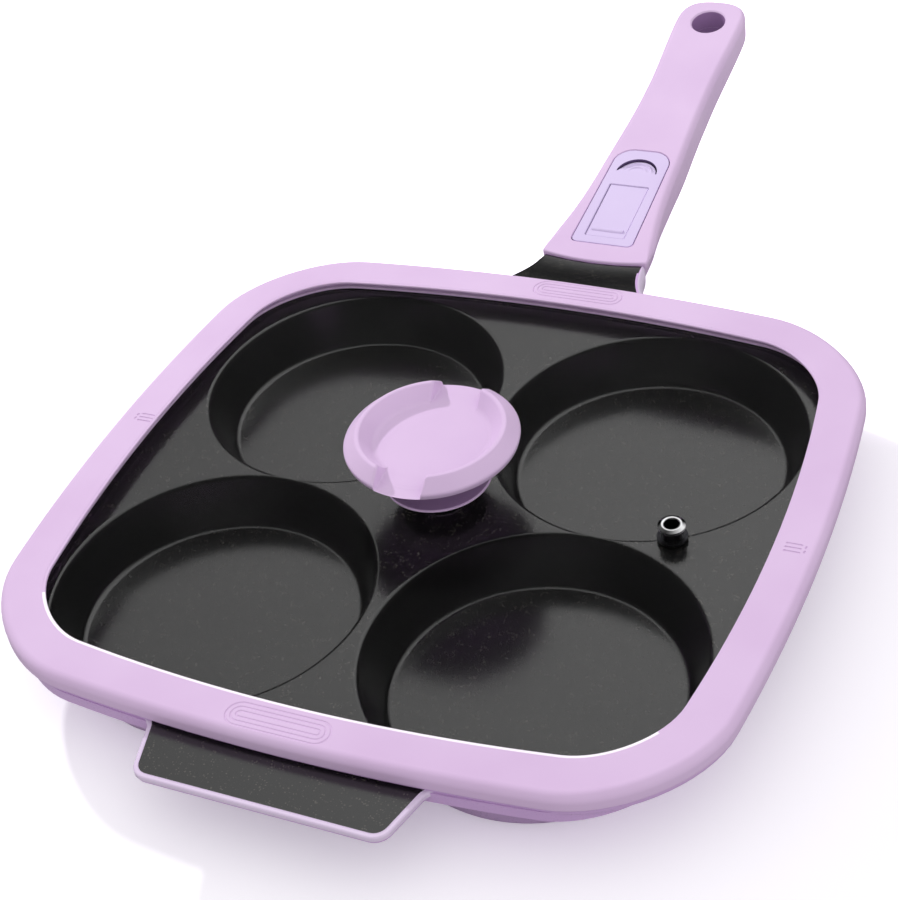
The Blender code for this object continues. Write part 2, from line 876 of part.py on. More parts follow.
def make_vent():
    """The steel eyelet and the washer that its lower edge is rolled over."""
    washer_top = glass_bottom - touch_gap
    washer_bottom = washer_top - vent_washer_thickness
    roll_top = washer_bottom - touch_gap
    roll_bottom = roll_top - vent_roll_thickness
    seat = glass_top + touch_gap
    flange_high = seat + vent_flange_thickness
    soft = vent_flange_thickness / 2
    centre = ((vent_x, lid_shift_y, 0),)
    profile = [
        (vent_bore, flange_high - soft / 2),
        (vent_bore + soft, flange_high),
        (vent_flange_radius - soft, flange_high),
        (vent_flange_radius, seat),
        (vent_barrel, seat),
        (vent_barrel, roll_top),
        (vent_roll_radius, roll_top),
        (vent_roll_radius - soft, roll_bottom),
        (vent_bore, roll_bottom),
        (vent_bore, flange_high - soft / 2),
    ]
    eyelet = turned("vent_eyelet", profile, 18, centre)
    washer_profile = [
        (vent_barrel + touch_gap, washer_bottom),
        (vent_barrel + touch_gap, washer_top),
        (vent_flange_radius, washer_top),
        (vent_flange_radius, washer_bottom),
        (vent_barrel + touch_gap, washer_bottom),
    ]
    return eyelet, turned("vent_washer", washer_profile, 24, centre)


def make_knob():
    """The dished knob, notched front and back, with a bore for its threaded insert."""
    top = knob_base + knob_height
    waist_z = knob_base + knob_waist_height
    wide_z = knob_base + knob_widest_height
    dish_z = top - knob_dish_depth
    bore = insert_radius + touch_gap
    bore_top = knob_base + insert_length + 3 * touch_gap
    profile = [(0, dish_z)]
    profile += fillet((0, dish_z), (knob_dish_radius, dish_z), (knob_rim_radius, top), dish_round, 2)
    profile += [
        (knob_rim_radius, top - knob_edge_round),
        (knob_rim_radius + knob_edge_round, top),
        (knob_rim_radius + 2.5 * knob_edge_round, top - knob_edge_round / 3),
        (knob_radius - 1.5 * knob_edge_round, wide_z + 0.5 * (top - wide_z)),
        (knob_radius, wide_z),
        (knob_radius - knob_edge_round, wide_z - 0.7 * knob_lip),
    ]
    under_radius = knob_radius - 2.5 * knob_edge_round
    under_z = wide_z - knob_lip
    flare_steps = 5
    for k in range(flare_steps + 1):
        angle = half_turn / 2 * k / flare_steps
        radius = under_radius - (under_radius - knob_waist_radius) * math.sin(angle)
        z = under_z - (under_z - waist_z) * (1 - math.cos(angle))
        profile.append((radius, z))
    neck_steps = 3
    for k in range(1, neck_steps + 1):
        share = k / neck_steps
        radius = knob_waist_radius + (knob_neck_radius - knob_waist_radius) * (1 - (1 - share) ** 2)
        profile.append((radius, waist_z + (knob_base - waist_z) * share))
    profile += [(bore, knob_base), (bore, bore_top), (0, bore_top)]
    knob = turned("knob", profile, knob_steps)
    reach = knob_radius + cut_over
    half = knob_notch_width / 2
    inner = knob_dish_radius - knob_notch_overlap
    high = top + cut_over
    for side in (-1, 1):
        y_low, y_high = sorted((side * inner, side * reach))
        cut(knob, block("notch", (-half, y_low, dish_z), (half, y_high, high)))
    knob.data.transform(Matrix.Translation((0, lid_shift_y, 0)))
    return knob


def make_knob_fixing():
    """Threaded insert, screw, washer and gasket of the knob."""
    centre = ((0, lid_shift_y, 0),)
    bore = screw_radius + touch_gap
    insert_low = knob_base + 2 * touch_gap
    insert_high = insert_low + insert_length - 2 * touch_gap
    gasket_high = glass_bottom - touch_gap
    gasket_low = gasket_high - gasket_thickness
    washer_high = gasket_low - touch_gap
    washer_low = washer_high - washer_thickness
    head_high = washer_low - touch_gap
    head_low = head_high - screw_head_thickness
    soft = screw_head_thickness / 3

    def collar(name, radius, low, high, steps):
        profile = [(bore, low), (bore, high), (radius, high), (radius, low), (bore, low)]
        return turned(name, profile, steps, centre)

    shank_high = insert_high - 2 * touch_gap
    screw_profile = [
        (0, shank_high),
        (screw_radius - soft, shank_high),
        (screw_radius, shank_high - soft),
        (screw_radius, head_high),
        (screw_head_radius, head_high),
        (screw_head_radius, head_low + soft),
        (screw_head_radius - soft, head_low),
        (0, head_low),
    ]
    return (
        collar("knob_insert", insert_radius, insert_low, insert_high, 20),
        turned("knob_screw", screw_profile, 20, centre),
        collar("knob_washer", washer_radius, washer_low, washer_high, 24),
        collar("knob_gasket", gasket_radius, gasket_low, gasket_high, 24),
    )


def lever_outline(grow, front_corner):
    """The lever's plan along its own length, pushed out by grow, with its own front corners."""
    front = -barrel_radius - grow
    rear = lever_length - barrel_radius + grow
    corners = [
        (-lever_front_half - grow, front),
        (lever_front_half + grow, front),
        (lever_rear_half + grow, rear),
        (-lever_rear_half - grow, rear),
    ]
    rear_corner = lever_rear_corner + grow
    return rounded_outline(corners, [front_corner, front_corner, rear_corner, rear_corner], 5)


def tilt_to_pan(made):
    """Move a piece from the lever's own frame to its place in the pan's frame."""
    place = Matrix.Translation((0, pivot_y, pivot_z)) @ Matrix.Rotation(lever_tilt, 4, "X")
    made.data.transform(place)
    return made


def screw_boss(name, y, radius, low, high):
    """A round post for a screw."""
    return round_bar(name, radius, low, high, 12, ((0, y, 0),))


def make_upper_shell():
    """The handle's upper shell, with the lever's opening and the pin's seats."""
    half_gap = touch_gap / 2
    shell = upper_loft("handle_upper_shell", -front_overrun, handle_length, 0, half_gap)
    inside = upper_loft("upper_inside", front_wall, end_block_y, handle_wall, -cut_over)
    cut(shell, inside)
    for side in (-1, 1):
        inner = lever_front_half + touch_gap / 2
        outer = handle_half(pivot_y) - handle_wall / 2
        x_low, x_high = sorted((side * inner, side * outer))
        seat_half = pin_radius + boss_wall
        seat_high = handle_top(pivot_y - seat_half) - handle_wall / 2
        low = (x_low, pivot_y - seat_half, seat_bottom)
        join(shell, block("pin_seat", low, (x_high, pivot_y + seat_half, seat_high)))
    for y in shell_screw_ys:
        post_low = handle_top(y) - handle_side + 2 * touch_gap
        join(shell, screw_boss("post", y, boss_half, post_low, handle_top(y) - handle_wall / 2))
    cut(shell, front_cutter("ahead", 0))
    plan = lever_outline(touch_gap, opening_front_corner)
    opening = prism("lever_opening", plan, lever_bottom * 4, lever_top * 4)
    cut(shell, tilt_to_pan(opening))
    slot_outer = pin_half + touch_gap
    low = (-slot_outer, pivot_y - slot_half, seat_bottom - cut_over)
    cut(shell, block("pin_slot", low, (slot_outer, pivot_y + slot_half, pivot_z)))
    pin_way = round_bar("pin_way", pin_radius + touch_gap, -slot_outer, slot_outer, 16)
    pin_way.data.transform(Matrix.Rotation(half_turn / 2, 4, "Y"))
    pin_way.data.transform(Matrix.Translation((0, pivot_y, pivot_z)))
    cut(shell, pin_way)
    for y in shell_screw_ys:
        pilot = shell_screw_radius + touch_gap
        low = handle_top(y) - handle_side - cut_over
        cut(shell, screw_boss("pilot", y, pilot, low, handle_top(y) - handle_wall))
    cut(shell, tongue_opening())
    return cut(shell, hang_hole())


def tongue_opening():
    """The mouth in the handle's front wall that the tongue goes through."""
    low = (-tongue_half - touch_gap, -cutter_reach, tongue_bottom - touch_gap)
    high = (tongue_half + touch_gap, front_wall + cut_over, tongue_top + touch_gap)
    return block("tongue_opening", low, high)


def hang_hole():
    """The hole through the handle's end."""
    return round_bar("hang_hole", hang_hole_radius, -cut_over, over_all_z, 28, ((0, hang_hole_y, 0),))


def make_lower_shell():
    """The handle's lower shell, with its screw posts."""
    half_gap = touch_gap / 2
    shell = lower_loft("handle_lower_shell", -front_overrun, handle_length, 0, -half_gap)
    inside = lower_loft("lower_inside", front_wall, end_block_y, handle_wall, cut_over)
    cut(shell, inside)
    for y in shell_screw_ys:
        post_high = handle_top(y) - handle_side - 2 * touch_gap
        post_low = handle_bottom_at(y) + handle_wall / 2
        join(shell, screw_boss("post", y, boss_half, post_low, post_high))
    for y in chassis_screw_ys:
        pad_low = handle_bottom_at(y) + handle_wall / 2
        join(shell, screw_boss("pad", y, boss_half, pad_low, chassis_top_at(y)))
    cut(shell, chassis_room())
    cut(shell, front_cutter("ahead", 0))
    for y in shell_screw_ys + chassis_screw_ys:
        hole = shell_screw_radius + touch_gap
        head = shell_screw_head + touch_gap
        cut(shell, screw_boss("hole", y, hole, -cut_over, handle_top(y)))
        cut(shell, screw_boss("head_room", y, head, -cut_over, head_seat(y) + touch_gap))
    cut(shell, tongue_opening())
    return cut(shell, hang_hole())


def head_seat(y):
    """Where a screw's head ends inside the lower shell."""
    return handle_bottom_at(y) + shell_screw_head_height


def chassis_under(y):
    """Height of the chassis plate's underside."""
    rise = max(0.0, y - chassis_bend_y) * chassis_slope()
    return chassis_bottom + rise


def chassis_top_at(y):
    """Height of the chassis plate's upper face."""
    return chassis_under(y) + chassis_thickness


def chassis_slope():
    """Rise of the chassis behind its bend, beside the handle's underside."""
    end_z = handle_bottom_at(chassis_end_y) + handle_wall + chassis_pad_height
    return (end_z - chassis_bottom) / (chassis_end_y - chassis_bend_y)


def chassis_plan(grow):
    """The chassis plate's plan, pushed out by grow: wide at the ears and narrow behind."""
    front_half = chassis_front_half + grow
    rear_half = chassis_rear_half + grow
    front = chassis_front_y - grow
    rear = chassis_end_y + grow
    wide_end = ear_front_y + ear_length + cut_over
    return [
        (-front_half, front),
        (front_half, front),
        (front_half, wide_end),
        (rear_half, chassis_bend_y),
        (rear_half, rear),
        (-rear_half, rear),
        (-rear_half, chassis_bend_y),
        (-front_half, wide_end),
    ]


def chassis_room():
    """Clear space round the chassis plate, so that nothing of the shell meets it."""
    low = chassis_bottom - room_gap
    front = chassis_front_y - room_gap
    rear = chassis_end_y + room_gap
    line = [
        (front, low),
        (chassis_bend_y, low),
        (rear, chassis_under(rear) - room_gap),
        (rear, over_all_z),
        (front, over_all_z),
    ]
    room = side_prism("chassis_room", line, chassis_front_half + cut_over)
    return keep(room, prism("room_plan", chassis_plan(room_gap), -cut_over, over_all_z))


def make_chassis():
    """The bent steel plate under the tongue, with an ear at each side for the pin."""
    end_under = chassis_under(chassis_end_y)
    line = [
        (chassis_front_y, chassis_bottom),
        (chassis_bend_y, chassis_bottom),
        (chassis_end_y, end_under),
        (chassis_end_y, end_under + chassis_thickness),
        (chassis_bend_y, chassis_top),
        (chassis_front_y, chassis_top),
    ]
    plate = side_prism("handle_chassis", line, chassis_front_half + cut_over)
    keep(plate, prism("chassis_plan", chassis_plan(0), 0, over_all_z))
    for side in (-1, 1):
        join(plate, chassis_ear(side))
    for side in (-1, 1):
        centre = ((side * guide_x, guide_y, 0),)
        cut(plate, round_bar("guide_hole", guide_radius + touch_gap, 0, over_all_z / 2, 12, centre))
    for y in chassis_screw_ys:
        pilot = shell_screw_radius + touch_gap
        cut(plate, screw_boss("pilot", y, pilot, 0, over_all_z / 2))
    return plate


def chassis_ear(side):
    """One upright ear, whose tab stands in the shell's slot and bears on the pin."""
    root = chassis_bottom + chassis_thickness / 2
    ear_end = ear_front_y + ear_length
    ear_high = pin_bottom - touch_gap
    tab_front = pivot_y - ear_tab_length / 2
    tab_end = pivot_y + ear_tab_length / 2
    line = [
        (ear_front_y, root),
        (ear_end, root),
        (ear_end, ear_shoulder),
        (tab_end, ear_shoulder),
        (tab_end, ear_high),
        (tab_front, ear_high),
        (tab_front, ear_shoulder),
        (ear_front_y, ear_shoulder),
    ]
    ear = side_prism("ear", line, ear_thickness / 2)
    ear.data.transform(Matrix.Translation((side * (chassis_front_half - ear_thickness / 2), 0, 0)))
    return ear


def make_guide(name, x):
    """A headed pin that the jaw slides on."""
    low = chassis_bottom
    head_low = chassis_top + touch_gap
    head_high = head_low + touch_gap * 2
    high = jaw_top + jaw_lift + 2 * touch_gap
    profile = [
        (0, high),
        (guide_radius, high),
        (guide_radius, head_high),
        (guide_head_radius, head_high),
        (guide_head_radius, head_low),
        (guide_radius, head_low),
        (guide_radius, low),
        (0, low),
    ]
    return turned(name, profile, 12, ((x, guide_y, 0),))


def make_jaw():
    """The moving plate that presses on the tongue."""
    corners = [
        (-jaw_half, chassis_front_y),
        (jaw_half, chassis_front_y),
        (jaw_half, jaw_end_y),
        (-jaw_half, jaw_end_y),
    ]
    radii = [jaw_front_corner, jaw_front_corner, jaw_rear_corner, jaw_rear_corner]
    outline = rounded_outline(corners, radii, 2)
    jaw = prism("clamp_jaw", outline, jaw_bottom, jaw_top)
    hole = guide_radius + touch_gap
    for side in (-1, 1):
        centre = ((side * guide_x, guide_y, 0),)
        cut(jaw, round_bar("guide_hole", hole, jaw_bottom - cut_over, jaw_top + cut_over, 12, centre))
    return jaw


def make_jaw_spring():
    """The small coil that lifts the jaw when the lever opens."""
    low = chassis_top + touch_gap
    spring = coil(
        "jaw_spring", jaw_spring_radius, jaw_spring_wire, jaw_spring_turns, jaw_bottom - touch_gap - low
    )
    spring.data.transform(Matrix.Translation((0, jaw_spring_y, low)))
    return spring


def make_pin():
    """The steel pin that the lever turns on."""
    pin = round_bar("lever_pivot_pin", pin_radius, -pin_half, pin_half, 16)
    pin.data.transform(Matrix.Rotation(half_turn / 2, 4, "Y"))
    pin.data.transform(Matrix.Translation((0, pivot_y, pivot_z)))
    return pin


def make_screw(name, y, tip):
    """A screw set up into the handle from below."""
    seat = head_seat(y)
    low = seat - shell_screw_head_height * 0.7
    profile = [
        (0, tip),
        (shell_screw_radius * 0.6, tip),
        (shell_screw_radius, tip - shell_screw_radius * 0.5),
        (shell_screw_radius, seat),
        (shell_screw_head, seat),
        (shell_screw_head, low),
        (0, low),
    ]
    return turned(name, profile, 14, ((0, y, 0),))


def make_lever():
    """The latch lever in its own frame: y along it from the pin, z up from the pin."""
    plan = lever_outline(0, lever_front_corner)
    lever = prism("latch_lever", plan, lever_bottom * 3, lever_top + cut_over)
    cam_low = cam_bottom_in_lever()
    rear = lever_length
    barrel = []
    steps = 8
    for k in range(steps + 1):
        angle = half_turn / 2 + half_turn * k / steps
        barrel.append((barrel_radius * math.cos(angle), barrel_radius * math.sin(angle)))
    side = barrel + [
        (0, lever_bottom + (barrel_radius + lever_bottom) / 2),
        (cam_start, lever_bottom),
        (rear, lever_bottom),
        (rear, lever_top),
    ]
    side[0] = (0, lever_top)
    keep(lever, side_prism("lever_side", side, lever_front_half + cut_over))
    cam = side_prism("cam", cam_line(cam_low), cam_half)
    join(lever, cam)
    bore = round_bar("pin_bore", pin_radius + touch_gap, -lever_front_half * 2, lever_front_half * 2, 16)
    bore.data.transform(Matrix.Rotation(half_turn / 2, 4, "Y"))
    cut(lever, bore)
    plate_low = lever_top - slider_sink - slider_thickness
    recess_low = plate_low - touch_gap
    recess_half = slider_half + touch_gap
    window_end = slider_start + slider_window
    low = (-recess_half, slider_start, recess_low)
    cut(lever, block("slider_window", low, (recess_half, window_end, lever_top + cut_over)))
    skin_low = lever_top - slider_skin
    low = (-recess_half, window_end - cut_over, recess_low)
    cut(lever, block("slider_pocket", low, (recess_half, slider_pocket_end, skin_low)))
    channel_half = nib_half + touch_gap
    low = (-channel_half, nib_start - touch_gap, lever_bottom - cut_over)
    cut(lever, block("spring_channel", low, (channel_half, slider_pocket_end, plate_low)))
    cut(lever, scoop())
    return lever


def cam_bottom_in_lever():
    """The cam's lowest level in the lever's frame, set so that its front corner clears the jaw."""
    run = cam_start + cam_length
    return (cam_bottom - pivot_z) / math.cos(lever_tilt) - run * math.tan(lever_tilt)


def cam_line(low):
    """The cam's side view: its foot lies flat over the jaw."""
    end = cam_start + cam_length
    fall = cam_length * math.tan(lever_tilt)
    return [
        (cam_start, lever_bottom + touch_gap),
        (cam_start, low + fall),
        (end, low),
        (end, lever_bottom + touch_gap),
    ]


def scoop():
    """The half-round thumb scoop behind the slider."""
    steps = 12
    outline = []
    for k in range(steps + 1):
        angle = half_turn * k / steps
        outline.append((scoop_radius * math.cos(angle), scoop_start + scoop_radius * math.sin(angle)))
    return prism("scoop", outline, lever_top - scoop_depth, lever_top + cut_over)


def make_slider():
    """The release slider, with its thumb ridge and the nib that meets the spring."""
    top = lever_top - slider_sink
    bottom = top - slider_thickness
    start = slider_start + touch_gap
    end = slider_start + slider_window + slider_tail
    plate = block("release_slider", (-slider_half, start, bottom), (slider_half, end, top))
    ridge_y = slider_start + ridge_start
    ridge_high = lever_top - touch_gap
    ridge_line = [
        (ridge_y, top - slider_thickness / 2),
        (ridge_y + ridge_length, top - slider_thickness / 2),
        (ridge_y + ridge_length * 0.7, ridge_high),
        (ridge_y + ridge_length * 0.3, ridge_high),
    ]
    join(plate, side_prism("ridge", ridge_line, slider_half * 0.8))
    nib_low = lever_bottom + touch_gap
    low = (-nib_half, nib_start, nib_low)
    high = (nib_half, nib_start + nib_length, bottom + slider_thickness / 2)
    return join(plate, block("nib", low, high))


def make_slider_spring():
    """The coil that pushes the slider back to the front."""
    start = nib_start + nib_length + touch_gap
    end = slider_pocket_end - touch_gap
    length = end - start
    spring = coil(
        "slider_spring", slider_spring_radius, slider_spring_wire, slider_spring_turns, length, 6
    )
    spring.data.transform(Matrix.Rotation(-half_turn / 2, 4, "X"))
    centre_z = lever_top - slider_sink - slider_thickness - touch_gap - slider_spring_radius
    spring.data.transform(Matrix.Translation((0, start, centre_z)))
    return spring


def empty(name, parent, place, tilt=0.0):
    """A marker that pieces hang on."""
    made = bpy.data.objects.new(name, None)
    bpy.context.collection.objects.link(made)
    made.empty_display_size = marker_size
    made.parent = parent
    made.location = place
    made.rotation_euler = (tilt, 0, 0)
    return made


def settle(made, material, parent, origin=(0, 0, 0), sharp=35):
    """Give a piece its material, its origin and its parent."""
    made.data.transform(Matrix.Translation(-Vector(origin)))
    made.data.materials.clear()
    made.data.materials.append(material)
    made.data.shade_smooth()
    made.data.set_sharp_from_angle(angle=math.radians(sharp))
    made.parent = parent
    made.location = origin
    return made


def build():
    """Make every piece and set it in its place."""
    clear_scene()
    cast = surface("cast_nonstick", (0.07, 0.07, 0.075), 0.45)
    steel = surface("brushed_steel", (0.62, 0.62, 0.63), 0.3, 1.0)
    brass = surface("brass", (0.72, 0.55, 0.28), 0.35, 1.0)
    glass = surface("clear_glass", (0.9, 0.95, 0.95), 0.05, 0.0, 0.25)
    rubber = surface("lilac_silicone", (0.75, 0.58, 0.80), 0.5)
    knob_plastic = surface("lilac_plastic", (0.74, 0.56, 0.79), 0.4)
    lever_plastic = surface("lavender_plastic", (0.68, 0.55, 0.85), 0.4)

    root = empty("pan_frame", None, (0, -middle_y, 0))
    settle(make_pan(), cast, root)
    names = ("front_left", "front_right", "rear_left", "rear_right")
    for name, centre in zip(names, cup_centres()):
        disc = round_bar(f"induction_disc_{name}", disc_radius, 0, disc_thickness, 32)
        disc.data.transform(Matrix.Translation(centre))
        settle(disc, steel, root, centre)

    lid_place = (0, lid_shift_y, 0)
    lid = empty("lid_frame", root, (0, 0, 0))
    settle(make_glass(), glass, lid, lid_place)
    settle(make_rim(), rubber, lid, lid_place)
    eyelet, vent_washer = make_vent()
    settle(eyelet, steel, lid, (vent_x, lid_shift_y, glass_top))
    settle(vent_washer, steel, lid, (vent_x, lid_shift_y, glass_bottom))
    settle(make_knob(), knob_plastic, lid, (0, lid_shift_y, knob_base))
    insert, screw, washer, gasket = make_knob_fixing()
    settle(insert, brass, lid, (0, lid_shift_y, knob_base))
    settle(screw, steel, lid, (0, lid_shift_y, glass_bottom))
    settle(washer, steel, lid, (0, lid_shift_y, glass_bottom))
    settle(gasket, rubber, lid, (0, lid_shift_y, glass_bottom))

    handle = empty("handle_frame", root, (0, handle_y, handle_z))
    settle(make_upper_shell(), knob_plastic, handle)
    settle(make_lower_shell(), knob_plastic, handle)
    settle(make_chassis(), steel, handle)
    settle(make_pin(), steel, handle, (0, pivot_y, pivot_z))
    for side, x in (("left", -guide_x), ("right", guide_x)):
        settle(make_guide(f"jaw_guide_{side}", x), steel, handle, (x, guide_y, chassis_top))
    for place, y in zip(("front", "rear"), shell_screw_ys):
        tip = handle_top(y) - handle_wall - 2 * touch_gap
        settle(make_screw(f"shell_screw_{place}", y, tip), steel, handle, (0, y, head_seat(y)))
    for place, y in zip(("front", "rear"), chassis_screw_ys):
        tip = chassis_under(y) + 2 * chassis_thickness
        settle(make_screw(f"chassis_screw_{place}", y, tip), steel, handle, (0, y, head_seat(y)))
    settle(make_jaw(), steel, handle, (0, jaw_spring_y, jaw_bottom))
    settle(make_jaw_spring(), steel, handle, (0, jaw_spring_y, chassis_top))

    lever = empty("lever_axis", handle, (0, pivot_y, pivot_z), lever_tilt)
    settle(make_lever(), lever_plastic, lever)
    slider_place = (0, slider_start, lever_top - slider_sink)
    settle(make_slider(), lever_plastic, lever, slider_place)
    settle(make_slider_spring(), steel, lever, slider_place)


build()
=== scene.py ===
import math

import bmesh
import bpy
from mathutils import Matrix, Vector


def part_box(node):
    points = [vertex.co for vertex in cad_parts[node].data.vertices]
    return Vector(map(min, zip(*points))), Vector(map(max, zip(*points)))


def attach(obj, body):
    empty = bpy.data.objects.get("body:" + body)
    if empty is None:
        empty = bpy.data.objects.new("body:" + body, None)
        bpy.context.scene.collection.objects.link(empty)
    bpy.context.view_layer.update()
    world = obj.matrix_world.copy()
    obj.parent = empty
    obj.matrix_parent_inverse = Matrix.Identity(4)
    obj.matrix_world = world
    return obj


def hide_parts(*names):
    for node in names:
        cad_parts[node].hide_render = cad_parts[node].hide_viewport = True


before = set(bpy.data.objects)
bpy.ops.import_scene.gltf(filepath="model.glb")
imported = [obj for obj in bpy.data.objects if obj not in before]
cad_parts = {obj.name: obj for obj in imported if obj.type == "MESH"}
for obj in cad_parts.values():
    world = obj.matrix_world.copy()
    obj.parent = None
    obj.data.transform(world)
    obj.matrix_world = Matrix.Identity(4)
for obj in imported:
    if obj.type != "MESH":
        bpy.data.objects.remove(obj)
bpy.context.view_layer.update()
print("frame loaded with", len(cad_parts), "nodes")

# All sizes below are in millimetres and all angles in degrees, until a piece is set in its place
millimetre = 0.001
quarterTurn = math.pi / 2


# Shapes

def newPiece(name, points, faces):
    mesh = bpy.data.meshes.new(name)
    mesh.from_pydata(points, [], faces)
    piece = bpy.data.objects.new(name, mesh)
    bpy.context.scene.collection.objects.link(piece)
    return tidyFaces(piece)


def tidyFaces(piece):  # all faces look out, and no two points share a place
    bm = bmesh.new()
    bm.from_mesh(piece.data)
    bmesh.ops.remove_doubles(bm, verts=bm.verts, dist=1e-5)
    bmesh.ops.recalc_face_normals(bm, faces=bm.faces)
    bm.to_mesh(piece.data)
    bm.free()
    return piece


def skin(name, rings, loop=False):  # rings of equal count, joined by quads and closed at the ends
    count = len(rings[0])
    points = [tuple(point) for ring in rings for point in ring]
    faces = []
    for k in range(len(rings) if loop else len(rings) - 1):
        here = k * count
        above = (k + 1) % len(rings) * count
        for j in range(count):
            after = (j + 1) % count
            faces.append((here + j, here + after, above + after, above + j))
    if not loop:
        faces.append(tuple(range(count)))
        faces.append(tuple(range(len(points) - count, len(points))))
    return newPiece(name, points, faces)


def cornerArc(before, corner, after, radius, steps):
    corner = Vector(corner)
    back = Vector(before) - corner
    ahead = Vector(after) - corner
    halfAngle = back.angle(ahead) / 2
    if radius <= 0 or halfAngle > quarterTurn * 0.995:
        return [tuple(corner)]
    reach = min(radius / math.tan(halfAngle), back.length * 0.49, ahead.length * 0.49)
    back.normalize()
    ahead.normalize()
    size = reach * math.tan(halfAngle)
    centre = corner + (back + ahead).normalized() * (size / math.sin(halfAngle))
    start = corner + back * reach - centre
    turn = start.angle_signed(corner + ahead * reach - centre)
    points = []
    for k in range(steps + 1):
        spoke = start.copy()
        spoke.rotate(Matrix.Rotation(-turn * k / steps, 2))
        points.append(tuple(centre + spoke))
    return points


def softLine(corners, steps=6, closed=False):  # (x, y, radius) corners as a line with round corners
    places = [corner[:2] for corner in corners]
    points = []
    for k, (x, y, radius) in enumerate(corners):
        if closed or 0 < k < len(corners) - 1:
            after = places[(k + 1) % len(places)]
            points += cornerArc(places[k - 1], (x, y), after, radius, steps)
        else:
            points.append((x, y))
    return points


def oblong(half, start, end, frontRound, rearRound, steps):
    return softLine([(-half, start, frontRound), (half, start, frontRound), (half, end, rearRound),
                     (-half, end, rearRound)], steps, closed=True)


def drawnIn(outline, insets):  # each point moved in, square to the outline, by its own amount
    count = len(outline)
    area = sum(outline[k - 1][0] * outline[k][1] - outline[k][0] * outline[k - 1][1] for k in range(count))
    turn = 1 if area > 0 else -1
    inner = []
    for k, here in enumerate(outline):
        before = Vector(here) - Vector(outline[k - 1])
        after = Vector(outline[(k + 1) % count]) - Vector(here)
        normals = [Vector((-edge.y, edge.x)).normalized() * turn for edge in (before, after)]
        both = normals[0] + normals[1]
        inset = insets[k] if isinstance(insets, list) else insets
        inner.append(tuple(Vector(here) + both * (inset / max(0.4, 1 + normals[0].dot(normals[1])))))
    return inner


def slab(name, outline, profile):  # an outline with edges of (inset, z), closed flat below and above
    return skin(name, [[(x, y, z) for x, y in drawnIn(outline, inset)] for inset, z in profile])


def turned(name, profile, steps, centre=(0, 0), loop=False):  # (radius, z) profile about an upright line
    rings = []
    for radius, z in profile:
        if radius > 0:
            ring = []
            for k in range(steps):
                angle = 4 * quarterTurn * k / steps
                ring.append((centre[0] + radius * math.cos(angle), centre[1] + radius * math.sin(angle), z))
            rings.append(ring)
    return skin(name, rings, loop)


def block(name, low, high):
    outline = [(low[0], low[1]), (high[0], low[1]), (high[0], high[1]), (low[0], high[1])]
    return skin(name, [[(x, y, z) for x, y in outline] for z in (low[2], high[2])])


def combine(target, other, operation):
    change = target.modifiers.new("change", "BOOLEAN")
    change.operation = operation
    change.solver = "EXACT"
    change.object = other
    bpy.context.view_layer.update()
    graph = bpy.context.evaluated_depsgraph_get()
    result = bpy.data.meshes.new_from_object(target.evaluated_get(graph))
    target.modifiers.remove(change)
    target.data = result
    bpy.data.objects.remove(other, do_unlink=True)
    return target


def join(target, *others):
    for other in others:
        combine(target, other, "UNION")
    return target


def cut(target, *others):
    for other in others:
        combine(target, other, "DIFFERENCE")
    return target


def keep(target, other):
    return combine(target, other, "INTERSECT")


def together(name, pieces):  # pieces that lie apart, as one
    bm = bmesh.new()
    for piece in pieces:
        bm.from_mesh(piece.data)
    mesh = bpy.data.meshes.new(name)
    bm.to_mesh(mesh)
    bm.free()
    for piece in pieces:
        bpy.data.objects.remove(piece, do_unlink=True)
    made = bpy.data.objects.new(name, mesh)
    bpy.context.scene.collection.objects.link(made)
    return made


def moved(piece, *steps):
    for step in steps:
        piece.data.transform(step)
    return piece


def paint(piece, finishes, rule=None):  # one finish, or by a rule that gives a finish's number for a face
    slots = [face.material_index for face in piece.data.polygons]
    piece.data.materials.clear()
    for finish in finishes:
        piece.data.materials.append(finish)
    for face, old in zip(piece.data.polygons, slots):
        face.material_index = rule(face) if rule else min(old, len(finishes) - 1)
    return piece


def marked(piece, rule):  # face numbers that later joins and cuts keep
    while len(piece.data.materials) < 3:
        piece.data.materials.append(None)
    for face in piece.data.polygons:
        face.material_index = rule if isinstance(rule, int) else rule(face)
    return piece


def setInPlace(piece, place, body, nodes, sharp=35, weighted=True):
    piece.data.transform(place)
    piece.data.shade_smooth()
    piece.data.set_sharp_from_angle(angle=math.radians(sharp))
    if weighted:
        even = piece.modifiers.new("even shading", "WEIGHTED_NORMAL")
        even.keep_sharp = True
    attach(piece, body)
    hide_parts(*nodes)
    print("made", piece.name, len(piece.data.polygons), "faces")
    return piece


def smoothStep(value, start, end):
    share = min(1.0, max(0.0, (value - start) / (end - start)))
    return share * share * (3 - 2 * share)


# Finishes

def shade(red, green, blue):  # a colour as a picture shows it, 0 to 255
    def plain(level):
        level = level / 255
        return level / 12.92 if level <= 0.04045 else ((level + 0.055) / 1.055) ** 2.4
    return (plain(red), plain(green), plain(blue), 1.0)


def newFinish(name):
    material = bpy.data.materials.new(name)
    material.use_nodes = True
    tree = material.node_tree
    return material, tree, tree.nodes["Principled BSDF"]


def addNode(tree, kind, sockets, **settings):
    made = tree.nodes.new("ShaderNode" + kind)
    for setting, value in settings.items():
        setattr(made, setting, value)
    for socket, value in sockets.items():
        if isinstance(value, bpy.types.NodeSocket):
            tree.links.new(value, made.inputs[socket])
        else:
            made.inputs[socket].default_value = value
    return made


def noiseAt(tree, scale, detail=2.0, stretch=(1, 1, 1)):  # scale is in bumps for each metre
    place = addNode(tree, "TexCoord", {})
    mapping = addNode(tree, "Mapping", {"Vector": place.outputs["Object"], "Scale": stretch})
    sockets = {"Vector": mapping.outputs["Vector"], "Scale": scale, "Detail": detail}
    return addNode(tree, "TexNoise", sockets).outputs["Fac"]


